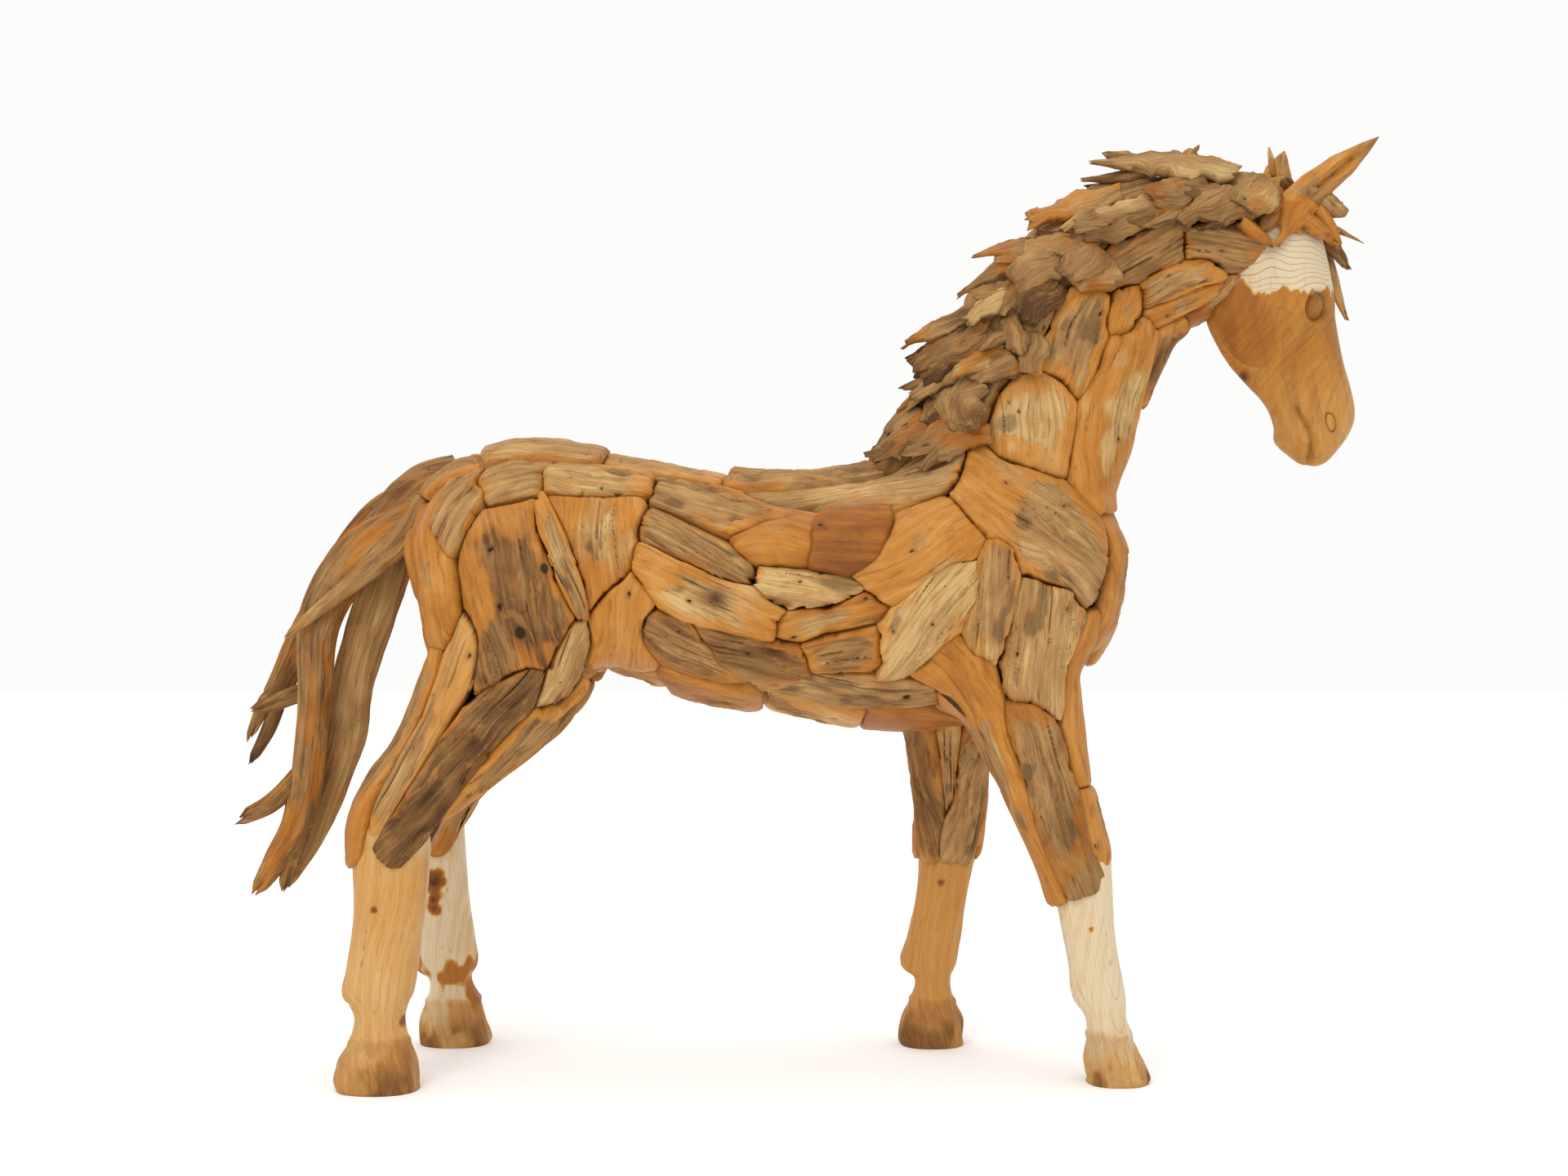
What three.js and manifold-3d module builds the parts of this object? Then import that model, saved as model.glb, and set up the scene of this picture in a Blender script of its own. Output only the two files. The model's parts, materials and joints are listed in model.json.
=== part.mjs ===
// A life-size standing horse, built up from slabs, strips and branches of weathered teak driftwood. The
// head and the four lower legs are each carved from one block of the same wood. Slabs of irregular
// outline are fixed edge to edge and make a hollow body, with nothing inside it but the tops of the leg
// blocks. The mane, the forelock and the tail are splinters and branches. Millimetres. +X runs from tail
// to head, +Y to the horse's left, +Z up. The origin is on the ground, under the middle of the whole
// work. Right and left are the horse's own.
import * as THREE from "three";
import Module from "manifold-3d";
import { mergeVertices } from "three/addons/utils/BufferGeometryUtils.js";

const wasm = await Module();
wasm.setup();

// Driving dimensions
const slabThickness = 36;
const stripThickness = 24; // on the legs, where the wood is thinner
const stripsBelow = 685; // the height under which a slab is a leg strip
const seamHalfWidth = 3;
const lapInNode = 9; // how far slabs of one node run into each other
const clearance = 1.4; // left where one piece is cut back from another
const sharpestCosine = 0.2; // least cosine used when a solid is grown at a sharp edge
const bevel = 8; // drop of a slab's face at its edge
const crown = 5; // rise of a slab's face at its middle
const slabReach = 1.5; // how far past its own half size a slab may grow to meet its neighbours
const stripReach = 1.15;
const slabSides = 10;
const hiddenSlabSides = 6; // on the left and under the mane, where the slabs are plainer
const broadSlab = 120; // a slab this wide has one more ring of faces
const outlinePower = 3.4; // 2 is an ellipse, more is squarer
const wrapLimit = 0.42; // least cosine between a slab's middle normal and its edge normal
const stripWrapLimit = 0.34;
const filletBetweenLimbs = 70;
const limbStep = 45;
const splinterTipLift = 30; // how far a mane splinter's tip stands off the neck, at least
const splinterSides = 3;
const branchSides = 4;
const legSides = 8;
const headSides = 10;

// The body form, as limbs. A station is x, y, z, half depth seen from the side, half width seen from the
// front.
const limbStations = {
  torso: [
    [-665, 0, 1055, 100, 125],
    [-600, 0, 1033, 155, 180],
    [-500, 0, 1007, 187, 212],
    [-400, 0, 976, 201, 226],
    [-300, 0, 951, 206, 236],
    [-145, 0, 917, 217, 250],
    [10, 0, 902, 230, 256],
    [100, 0, 899, 245, 254],
    [200, 0, 910, 254, 246],
    [300, 0, 930, 258, 234],
    [400, 0, 950, 225, 215],
    [440, 0, 968, 170, 186],
    [468, 0, 986, 118, 146],
  ],
  neck: [
    [345, 0, 1113, 216, 170],
    [422, 0, 1238, 200, 145],
    [459, 0, 1343, 189, 126],
    [497, 0, 1425, 188, 113],
    [572, 0, 1509, 168, 103],
    [655, 0, 1557, 155, 98],
    [752, 0, 1582, 134, 94],
    [850, 0, 1613, 108, 86],
  ],
  rightHindLeg: [
    [-590, -105, 1005, 168, 120],
    [-566, -128, 885, 162, 112],
    [-558, -138, 785, 153, 100],
    [-621, -142, 685, 116, 84],
    [-704, -150, 575, 84, 70],
    [-772, -160, 485, 72, 62],
    [-779, -172, 365, 68, 58],
  ],
  leftHindLeg: [
    [-575, 105, 1005, 168, 120],
    [-562, 128, 885, 166, 112],
    [-560, 142, 785, 150, 100],
    [-616, 152, 685, 113, 84],
    [-699, 165, 575, 80, 70],
    [-752, 176, 475, 74, 62],
    [-756, 190, 355, 66, 56],
  ],
  rightForeLeg: [
    [420, -95, 995, 165, 110],
    [404, -125, 885, 144, 100],
    [384, -138, 785, 112, 88],
    [399, -142, 685, 101, 76],
    [429, -146, 585, 81, 66],
    [462, -148, 485, 66, 60],
    [482, -148, 425, 59, 54],
    [506, -146, 325, 54, 48],
  ],
  leftForeLeg: [
    [370, 95, 945, 160, 110],
    [330, 125, 835, 125, 96],
    [292, 145, 735, 102, 82],
    [283, 165, 635, 83, 72],
    [285, 180, 545, 73, 64],
    [286, 188, 455, 68, 58],
    [276, 195, 345, 64, 52],
  ],
};

// Which way a slab faces
const faces = {
  right: [0, -1, 0],
  left: [0, 1, 0],
  top: [0, 0, 1],
  under: [0, 0, -1],
  front: [1, 0, 0],
  back: [-1, 0, 0],
  rightFront: [0.7, -0.7, 0],
  leftFront: [0.7, 0.7, 0],
  rightBack: [-0.7, -0.7, 0],
  leftBack: [-0.7, 0.7, 0],
  backTop: [-0.7, 0, 0.7],
  withers: [-0.5, 0, 0.85],
  throat: [0.85, 0, -0.5],
  rightCrest: [-0.45, -0.7, 0.55],
  leftCrest: [-0.45, 0.7, 0.55],
};
// Slabs as node, the x, y, z of a point inside the body under the slab's middle, the way it faces, its
// length and width, the tilt of its length above +X in degrees, and how much it narrows towards the end
// that the tilt points to, from 0 to 1, or towards the other end if below 0.
const rightSlabs = [
  ["loin_slab", -151, 0, 1063, "right", 290, 96, -27, 0],
  ["rib_block", -62, 0, 1011, "right", 140, 108, -3, 0],
  ["saddle_plank", 96, 0, 1097, "right", 360, 74, 7, -0.2],
  ["oval_rib", 68, 0, 998, "right", 142, 100, 2, 0],
  ["heart_side_slab", 198, 0, 985, "right", 250, 128, 35, -0.25],
  ["heart_side_slab", 30, 0, 863, "right", 200, 72, 16, 0],
  ["pale_rib", -10, 0, 913, "right", 212, 80, -11, 0],
  ["grey_rib", -206, 0, 984, "right", 250, 82, -33, 0],
  ["knot_rib", -196, 0, 911, "right", 290, 98, -22, 0],
  ["low_flank_slab", -246, 0, 813, "right", 220, 88, -33, 0],
  ["violet_rib", -109, 0, 791, "right", 205, 92, -14, 0],
  ["eye_rib", 61, 0, 797, "right", 155, 88, 8, 0],
  ["pale_girth_slab", 216, 0, 869, "right", 255, 105, 51, 0],
  ["belly_slab", 115, 0, 721, "right", 300, 82, -4, 0],
  ["thigh_slab", -546, -120, 919, "right", 345, 184, -77, 0],
  ["buttock_slab", -702, -110, 941, "right", 250, 96, -78, 0],
  ["buttock_slab", -640, -110, 875, "back", 230, 130, -84, 0],
  ["croup_side_slabs", -655, -60, 1057, "right", 155, 84, 66, 0],
  ["croup_side_slabs", -556, 0, 1115, "right", 150, 90, 28, 0],
  ["croup_plank", -404, 0, 1115, "right", 212, 76, 2, 0],
  ["hip_slab", -392, -20, 995, "right", 226, 148, -84, 0.35],
  ["hip_slab", -457, -20, 977, "right", 210, 52, -67, 0],
  ["stifle_slab", -352, -80, 837, "right", 250, 110, 78, 0],
  ["rough_stifle_slab", -450, -120, 751, "right", 200, 88, 65, 0],
  ["dark_gaskin_slab", -612, -140, 630, "right", 390, 90, 49, 0],
  ["honey_gaskin_strip", -704, -145, 675, "right", 392, 56, 62, 0],
  ["rear_gaskin_strips", -752, -150, 635, "rightBack", 350, 120, 60, 0],
  ["rear_gaskin_strips", -655, -145, 635, "left", 380, 190, 52, 0],
  ["front_gaskin_strip", -585, -140, 620, "rightFront", 370, 96, 43, -0.2],
  ["shoulder_slab", 400, -60, 1055, "right", 292, 182, -38, 0],
  ["rear_shoulder_strip", 328, -60, 903, "right", 215, 74, 82, 0],
  ["rough_shoulder_slab", 414, -110, 803, "right", 245, 124, 83, 0],
  ["chest_slabs", 535, -60, 920, "rightFront", 255, 110, 80, 0],
  ["rear_arm_strips", 372, -140, 607, "rightBack", 430, 120, -69, 0.15],
  ["rear_arm_strips", 425, -135, 625, "left", 400, 180, -74, 0],
  ["middle_arm_slab", 425, -140, 570, "right", 330, 96, -71, 0],
  ["front_arm_strips", 484, -140, 653, "rightFront", 320, 90, -82, 0],
  ["front_arm_strips", 514, -146, 500, "rightFront", 150, 90, -84, 0],
  ["neck_base_slab", 402, 0, 1228, "right", 180, 146, -87, 0],
  ["throat_slab", 585, 0, 1251, "right", 335, 128, 75, 0.1],
  ["neck_middle_slab", 503, 0, 1398, "right", 184, 118, 70, 0],
  ["neck_middle_slab", 591, 0, 1441, "right", 115, 74, 68, 0],
  ["crest_grey_slab", 622, 0, 1545, "right", 205, 94, 29, 0],
  ["poll_slab", 765, 0, 1563, "right", 150, 74, -10, 0],
  ["throat_latch_slabs", 696, 0, 1497, "right", 150, 62, 23, 0],
  ["throat_latch_slabs", 704, 0, 1455, "right", 140, 62, 21, 0],
];

// Slabs that cross the middle, over the back, under the belly, down the chest and along the neck's crest
const middleSlabs = [
  ["back_ridge", -505, 0, 1085, "top", 240, 170, 3, 0],
  ["back_ridge", -270, 0, 1065, "top", 260, 170, -5, 0],
  ["back_ridge", -20, 0, 1065, "top", 280, 180, -2, 0],
  ["back_ridge", -630, 0, 1085, "backTop", 140, 170, 35, 0],
  ["back_ridge", -690, 0, 995, "back", 180, 170, 80, 0],
  ["underbelly", 190, 0, 785, "under", 210, 210, 0, 0],
  ["underbelly", 0, 0, 785, "under", 220, 220, -5, 0],
  ["underbelly", -185, 0, 785, "under", 210, 210, -12, 0],
  ["underbelly", -330, 0, 845, "under", 160, 180, -22, 0],
  ["underbelly", -480, 0, 885, "under", 200, 180, -10, 0],
  ["throat_ridge", 540, 0, 1175, "front", 280, 110, 76, 0],
  ["throat_ridge", 600, 0, 1385, "throat", 240, 110, 62, 0],
  ["throat_ridge", 700, 0, 1495, "throat", 170, 110, 28, 0],
  ["chest_slabs", 480, 0, 1025, "front", 210, 130, 80, 0],
  ["chest_slabs", 460, 0, 845, "front", 200, 140, -70, 0],
  ["right_mane_upper", 790, -20, 1625, "top", 150, 120, 8, 0],
  ["right_mane_upper", 660, 0, 1575, "rightCrest", 170, 120, 20, 0],
  ["right_mane_upper", 540, 0, 1485, "rightCrest", 170, 130, 42, 0],
  ["right_mane_lower", 440, 0, 1355, "rightCrest", 170, 150, 58, 0],
  ["right_mane_lower", 350, 0, 1205, "rightCrest", 180, 160, 58, 0],
  ["right_mane_lower", 240, 0, 1125, "withers", 190, 170, 35, 0],
  ["left_mane", 660, 0, 1575, "leftCrest", 190, 120, 20, 0],
  ["left_mane", 530, 0, 1475, "leftCrest", 190, 130, 42, 0],
  ["left_mane", 440, 0, 1345, "leftCrest", 180, 150, 58, 0],
  ["left_mane", 350, 0, 1205, "leftCrest", 190, 160, 58, 0],
];

// The left side, with larger and plainer slabs. Its foreleg stands further back.
const leftSlabs = [
  ["left_rib_slabs", -150, 0, 1063, "left", 300, 112, -25, 0],
  ["left_rib_slabs", 96, 0, 1093, "left", 360, 92, 7, 0],
  ["left_rib_slabs", -20, 0, 990, "left", 240, 120, 4, 0],
  ["left_rib_slabs", 198, 0, 985, "left", 250, 130, 35, 0],
  ["left_rib_slabs", -215, 0, 965, "left", 240, 110, -30, 0],
  ["left_flank_slabs", -190, 0, 875, "left", 300, 110, -22, 0],
  ["left_flank_slabs", 20, 0, 885, "left", 240, 110, -5, 0],
  ["left_flank_slabs", 216, 0, 855, "left", 260, 115, 55, 0],
  ["left_flank_slabs", -170, 0, 775, "left", 280, 110, -24, 0],
  ["left_flank_slabs", 80, 0, 760, "left", 290, 120, 2, 0],
  ["left_haunch_slabs", -545, 120, 919, "left", 345, 190, -77, 0],
  ["left_haunch_slabs", -605, 0, 1095, "left", 230, 110, 45, 0],
  ["left_haunch_slabs", -404, 0, 1115, "left", 230, 90, 2, 0],
  ["left_haunch_slabs", -400, 20, 985, "left", 240, 150, -84, 0.3],
  ["left_haunch_slabs", -370, 80, 825, "left", 260, 130, 78, 0],
  ["left_gaskin_strips", -695, 110, 941, "left", 250, 100, -78, 0],
  ["left_gaskin_strips", -640, 110, 875, "back", 230, 130, -84, 0],
  ["left_gaskin_strips", -600, 140, 645, "left", 400, 120, 50, 0],
  ["left_gaskin_strips", -715, 150, 635, "leftBack", 380, 120, 60, 0],
  ["left_gaskin_strips", -570, 150, 640, "leftFront", 360, 110, 45, 0],
  ["left_gaskin_strips", -640, 150, 625, "right", 380, 190, 52, 0],
  ["left_shoulder_slabs", 365, 60, 1045, "left", 300, 182, -48, 0],
  ["left_shoulder_slabs", 275, 60, 900, "left", 250, 100, 80, 0],
  ["left_shoulder_slabs", 350, 110, 805, "left", 250, 140, 83, 0],
  ["left_shoulder_slabs", 490, 60, 920, "leftFront", 270, 150, 80, 0],
  ["left_arm_strips", 245, 170, 590, "leftBack", 310, 130, -86, 0],
  ["left_arm_strips", 310, 165, 605, "leftFront", 340, 150, -82, 0],
  ["left_arm_strips", 228, 180, 560, "right", 270, 96, -84, 0],
  ["left_arm_strips", 275, 180, 570, "right", 280, 54, -88, 0],
  ["left_arm_strips", 327, 180, 550, "right", 270, 110, 76, 0],
  ["left_neck_slabs", 402, 0, 1228, "left", 190, 150, -87, 0],
  ["left_neck_slabs", 585, 0, 1251, "left", 335, 140, 75, 0],
  ["left_neck_slabs", 535, 0, 1410, "left", 210, 150, 66, 0],
  ["left_neck_slabs", 630, 0, 1545, "left", 220, 110, 27, 0],
  ["left_neck_slabs", 715, 0, 1480, "left", 200, 120, 20, 0],
];

// Lower legs as horizontal sections: height, middle x, middle y, half depth, half width. The top two are
// inside the strips.
const legSections = {
  right_hind_leg: [
    [0, -795, -204, 75, 68],
    [14, -799, -204, 79, 70],
    [51, -798, -202, 72, 64],
    [89, -797, -194, 54, 52],
    [127, -795, -190, 45, 45],
    [157, -795, -187, 52, 48],
    [187, -796, -184, 64, 52],
    [315, -781, -174, 65, 56],
    [465, -777, -163, 70, 57],
    [500, -765, -160, 42, 36],
    [625, -690, -148, 36, 30],
  ],
  left_hind_leg: [
    [0, -716, 205, 69, 64],
    [12, -716, 205, 73, 66],
    [48, -719, 204, 68, 61],
    [89, -718, 203, 55, 52],
    [131, -724, 202, 43, 44],
    [172, -733, 201, 62, 50],
    [296, -744, 197, 56, 50],
    [455, -755, 179, 60, 52],
    [490, -742, 176, 38, 34],
    [615, -672, 164, 32, 28],
  ],
  right_fore_leg: [
    [0, 568, -148, 57, 60],
    [12, 570, -148, 59, 62],
    [43, 563, -142, 56, 57],
    [81, 556, -144, 43, 46],
    [119, 549, -145, 38, 41],
    [157, 538, -146, 47, 44],
    [271, 517, -147, 49, 45],
    [425, 499, -148, 56, 48],
    [460, 490, -148, 38, 32],
    [585, 452, -146, 34, 28],
  ],
  left_fore_leg: [
    [0, 247, 194, 63, 62],
    [12, 246, 194, 67, 64],
    [51, 247, 194, 63, 60],
    [93, 247, 194, 44, 46],
    [134, 248, 194, 36, 41],
    [171, 243, 194, 54, 44],
    [299, 267, 193, 52, 46],
    [445, 286, 187, 60, 50],
    [480, 286, 184, 38, 32],
    [595, 287, 172, 34, 28],
  ],
};

// The head as horizontal sections: height, x of the jaw side, x of the forehead side, half width, and how
// narrow the jaw side is beside the middle.
const headSections = [
  [1161, 938, 990, 26, 1],
  [1197, 896, 1026, 51, 1],
  [1233, 892, 1046, 58, 0.95],
  [1275, 872, 1047, 57, 0.8],
  [1353, 804, 1026, 64, 0.65],
  [1431, 764, 1010, 84, 0.8],
  [1475, 771, 1007, 91, 0.85],
  [1565, 796, 990, 86, 0.95],
  [1615, 812, 972, 78, 1],
  [1653, 830, 948, 64, 1],
  [1675, 860, 924, 40, 1],
];
const eye = { x: 958, y: 76, z: 1456, halfLength: 26, halfHeight: 18, bulge: 16, tilt: -62 };
const nostril = { x: 994, y: 57, z: 1233, length: 38, width: 19, depth: 7 };
// The mouth is a slit down each side of the muzzle, from its corner to the notch between the lips
// underneath.
const mouth = { corner: [928, 1258], notch: [952, 1164], width: 6, from: 44 };
const lipGap = { width: 10, height: 12 }; // the notch between the lips

// Ears as root, tip, width, thickness
const ears = {
  right_ear: [[852, -66, 1599], [1071, -92, 1769], 62, 34],
  left_ear: [[890, 62, 1640], [936, 96, 1780], 66, 34],
};

// Splinters as node, root x, y, z, tip x, y, z, width
const maneSplinters = [
  ["right_mane_upper", 430, -60, 1584, 316, -50, 1544, 30],
  ["right_mane_upper", 426, -85, 1557, 268, -70, 1463, 24],
  ["right_mane_upper", 465, -100, 1554, 375, -95, 1495, 58],
  ["right_mane_upper", 540, -95, 1563, 426, -80, 1592, 40],
  ["right_mane_upper", 590, -50, 1645, 416, -40, 1615, 50],
  ["right_mane_upper", 667, -85, 1644, 501, -75, 1607, 40],
  ["right_mane_upper", 650, -20, 1689, 535, -15, 1679, 34],
  ["right_mane_upper", 790, -20, 1703, 570, -20, 1736, 44],
  ["right_mane_upper", 711, -10, 1705, 736, -5, 1765, 42],
  ["right_mane_upper", 770, -80, 1676, 635, -85, 1594, 36],
  ["right_mane_upper", 854, -60, 1701, 806, -85, 1630, 60],
  ["right_mane_lower", 374, -90, 1491, 300, -85, 1421, 48],
  ["right_mane_lower", 304, -60, 1442, 176, -50, 1377, 36],
  ["right_mane_lower", 335, -90, 1420, 205, -80, 1320, 66],
  ["right_mane_lower", 356, -120, 1375, 263, -115, 1322, 36],
  ["right_mane_lower", 367, -100, 1388, 172, -85, 1292, 30],
  ["right_mane_lower", 459, -110, 1495, 392, -118, 1425, 58],
  ["right_mane_lower", 312, -110, 1368, 187, -95, 1272, 40],
  ["right_mane_lower", 268, -120, 1313, 275, -140, 1200, 84],
  ["right_mane_lower", 255, -110, 1225, 134, -90, 1161, 48],
  ["right_mane_lower", 333, -140, 1200, 183, -135, 1170, 50],
];
// A splinter of the left side for each of these, this much further along the neck
const leftManeFrom = [2, 4, 7, 11, 15, 18];
const leftManeShift = [14, -10];

const forelockFacing = [0.5, -0.3, 0.8];
const forelockSplinters = [
  ["forelock", 958, -85, 1668, 958, 85, 1668, 120],
  ["forelock", 945, -50, 1672, 1006, -62, 1573, 72],
  ["forelock", 930, -20, 1680, 1022, -20, 1657, 44],
  ["forelock", 935, 0, 1672, 1068, -5, 1584, 56],
  ["forelock", 945, 20, 1672, 1048, 12, 1532, 60],
  ["forelock", 955, 36, 1664, 1036, 24, 1446, 60],
  ["forelock", 948, -70, 1664, 878, -98, 1561, 60],
  ["forelock", 945, 50, 1668, 1008, 62, 1555, 60],
];

// Branches as node, then points of x, y, z, half width across, half depth
const tailBranches = [
  [
    "tail_branches",
    [-760, 0, 1077, 30, 24],
    [-820, 24, 1070, 34, 24],
    [-901, 40, 981, 36, 24],
    [-972, 40, 855, 30, 22],
    [-1035, 36, 720, 26, 20],
    [-1062, 34, 690, 16, 14],
    [-1088, 34, 630, 9, 8],
  ],
  ["tail_branches", [-1016, 36, 755, 18, 18], [-1052, 40, 650, 15, 13], [-1086, 44, 585, 8, 8]],
  [
    "tail_branches",
    [-740, -10, 1070, 30, 26],
    [-805, -30, 1035, 34, 26],
    [-880, -36, 965, 46, 28],
    [-938, -40, 851, 42, 28],
    [-948, -40, 685, 34, 28],
    [-972, -42, 493, 32, 26],
    [-1020, -44, 398, 24, 20],
    [-1054, -46, 345, 13, 12],
  ],
  ["tail_branches", [-972, -40, 465, 20, 20], [-998, -30, 383, 16, 14], [-1010, -24, 345, 8, 8]],
  ["tail_branches", [-950, -40, 595, 20, 18], [-1020, -50, 516, 19, 16], [-1080, -54, 482, 14, 12]],
  ["tail_branches", [-940, -36, 730, 20, 18], [-1027, -28, 698, 16, 14], [-1064, -22, 687, 10, 9]],
  [
    "tail_slabs",
    [-672, 0, 1121, 58, 22],
    [-740, 0, 1097, 62, 24],
    [-800, -4, 1043, 54, 26],
    [-856, -6, 980, 26, 20],
  ],
  [
    "tail_slabs",
    [-735, 4, 1105, 30, 24],
    [-785, 6, 1025, 40, 24],
    [-829, 8, 918, 44, 24],
    [-880, 10, 761, 44, 24],
    [-912, 12, 603, 42, 22],
    [-971, 14, 445, 34, 18],
    [-1009, 14, 343, 9, 9],
  ],
  ["tail_slabs", [-742, -16, 1085, 26, 20], [-800, -56, 991, 28, 16], [-990, -84, 828, 7, 6]],
];

const vector = (x, y, z) => new THREE.Vector3(x, y, z);

// A smooth line of numbers through the stations, about one row for each step of length
function smoothRows(stations, step) {
  const rows = [];
  for (let i = 0; i < stations.length - 1; i++) {
    const [here, next] = [stations[i], stations[i + 1]];
    const before = stations[i - 1] ?? here.map((v, k) => 2 * v - next[k]);
    const after = stations[i + 2] ?? next.map((v, k) => 2 * v - here[k]);
    const length = Math.hypot(next[0] - here[0], next[1] - here[1], next[2] - here[2]);
    const parts = Math.max(1, Math.round(length / step));
    for (let j = 0; j < parts; j++) {
      const t = j / parts;
      rows.push(
        here.map((b, k) => {
          const [a, c, d] = [before[k], next[k], after[k]];
          const bend = 2 * a - 5 * b + 4 * c - d;
          return 0.5 * (2 * b + (c - a) * t + bend * t ** 2 + (3 * b - a - 3 * c + d) * t ** 3);
        }),
      );
    }
  }
  rows.push(stations.at(-1));
  return rows;
}

// A limb's segments, each with its start, direction, length, two cross directions and the sizes at both
// ends
function segmentsOf(stations) {
  const rows = smoothRows(stations, limbStep);
  return rows.slice(1).map((end, i) => {
    const start = rows[i];
    const from = vector(start[0], start[1], start[2]);
    const along = vector(end[0], end[1], end[2]).sub(from);
    const length = along.length();
    along.normalize();
    const across = vector(0, 1, 0).addScaledVector(along, -along.y).normalize();
    const up = new THREE.Vector3().crossVectors(along, across);
    return { from, along, length, across, up, start, end };
  });
}
const limbs = Object.values(limbStations).map(segmentsOf);

// Distance from a point to a limb's skin, below zero inside, measured towards the limb's centre line
function distanceToLimb(segments, p) {
  let nearest = Infinity;
  const q = new THREE.Vector3();
  for (const s of segments) {
    q.subVectors(p, s.from);
    const t = Math.min(Math.max(q.dot(s.along) / s.length, 0), 1);
    q.addScaledVector(s.along, -t * s.length);
    const deep = s.start[3] + t * (s.end[3] - s.start[3]);
    const wide = s.start[4] + t * (s.end[4] - s.start[4]);
    const endRadius = 0.9 * Math.min(deep, wide);
    const share = Math.hypot(q.dot(s.along) / endRadius, q.dot(s.up) / deep, q.dot(s.across) / wide) + 1e-9;
    nearest = Math.min(nearest, q.length() * (1 - 1 / share));
  }
  return nearest;
}

// Distance to the whole body's skin, with a fillet where limbs meet
function distanceToBody(p) {
  return limbs.reduce((sofar, segments) => {
    const d = distanceToLimb(segments, p);
    const h = Math.max(filletBetweenLimbs - Math.abs(sofar - d), 0) / filletBetweenLimbs;
    return Math.min(sofar, d) - (h * h * filletBetweenLimbs) / 4;
  }, 1e6);
}

function skinNormal(p) {
  const step = 4;
  const slope = (axis) => {
    const ahead = p.clone().setComponent(axis, p.getComponent(axis) + step);
    const behind = p.clone().setComponent(axis, p.getComponent(axis) - step);
    return distanceToBody(ahead) - distanceToBody(behind);
  };
  return vector(slope(0), slope(1), slope(2)).normalize();
}

// Where a line from p in a direction crosses the skin, or null if it doesn't within the reach
function skinAlong(p, direction, reach) {
  const at = (t) => p.clone().addScaledVector(direction, t);
  const startsInside = distanceToBody(p) < 0;
  let [near, far] = [0, 0];
  while (distanceToBody(at(far)) < 0 === startsInside) {
    near = far;
    far += Math.max(6, 0.7 * Math.abs(distanceToBody(at(far))));
    if (far > reach) return null;
  }
  for (let i = 0; i < 12; i++) {
    const middle = (near + far) / 2;
    if (distanceToBody(at(middle)) < 0 === startsInside) near = middle;
    else far = middle;
  }
  return at(far);
}

// A slab's place on the skin: its middle, the direction it faces, and the directions of its length and
// width
function placeSlab([node, x, y, z, face, long, wide, tilt, narrowing]) {
  const inside = vector(x, y, z);
  const middle = skinAlong(inside, vector(...faces[face]).normalize(), 400);
  const normal = skinNormal(middle);
  const angle = THREE.MathUtils.degToRad(tilt);
  const lengthways = vector(Math.cos(angle), 0, Math.sin(angle));
  lengthways.addScaledVector(normal, -lengthways.dot(normal)).normalize();
  const sideways = new THREE.Vector3().crossVectors(normal, lengthways);
  return { node, middle, normal, lengthways, sideways, long, wide, narrowing };
}

// How far a point is from a slab's middle, as a share of the slab's own half size in that direction
function shareOfSlab(slab, p) {
  const depthReach = 110;
  const q = p.clone().sub(slab.middle);
  const u = q.dot(slab.lengthways) / (slab.long / 2);
  const narrow = 1 - slab.narrowing * THREE.MathUtils.clamp(u, -1, 1);
  const v = q.dot(slab.sideways) / ((slab.wide / 2) * narrow);
  const w = q.dot(slab.normal) / depthReach;
  const sum = [u, v, w].reduce((total, part) => total + Math.abs(part) ** outlinePower, 0);
  return sum ** (1 / outlinePower);
}

// The skin under a slab, a share of its half size out from its middle at an angle in its own plane
function skinUnder(slab, angle, share) {
  const lift = 120;
  const p = slab.middle
    .clone()
    .addScaledVector(slab.lengthways, share * Math.cos(angle) * (slab.long / 2))
    .addScaledVector(slab.sideways, share * Math.sin(angle) * (slab.wide / 2))
    .addScaledVector(slab.normal, lift);
  return skinAlong(p, slab.normal.clone().negate(), 2.4 * lift);
}

// How far a slab reaches at an angle before it meets a neighbour, its own limit or a turn of the skin
function reachOf(slab, neighbours, angle) {
  const step = 0.07;
  const isStrip = slab.middle.z < stripsBelow;
  const stopAt = (share) => {
    const p = skinUnder(slab, angle, share);
    if (!p || shareOfSlab(slab, p) > (isStrip ? stripReach : slabReach)) return { p };
    if (skinNormal(p).dot(slab.normal) < (isStrip ? stripWrapLimit : wrapLimit)) return { p };
    const own = shareOfSlab(slab, p);
    const rival = neighbours.find((other) => shareOfSlab(other, p) < own);
    return rival ? { p, rival } : null;
  };
  let far = step;
  while (!stopAt(far)) far += step;
  let near = far - step;
  let stop = stopAt(far);
  for (let i = 0; i < 7; i++) {
    const middle = (near + far) / 2;
    const found = stopAt(middle);
    if (found) [far, stop] = [middle, found];
    else near = middle;
  }
  const lengthOfShare = Math.hypot(Math.cos(angle) * slab.long, Math.sin(angle) * slab.wide) / 2;
  const change = stop.rival?.node === slab.node ? lapInNode : -seamHalfWidth;
  return Math.max(near + change / lengthOfShare, 0.1);
}

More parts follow.
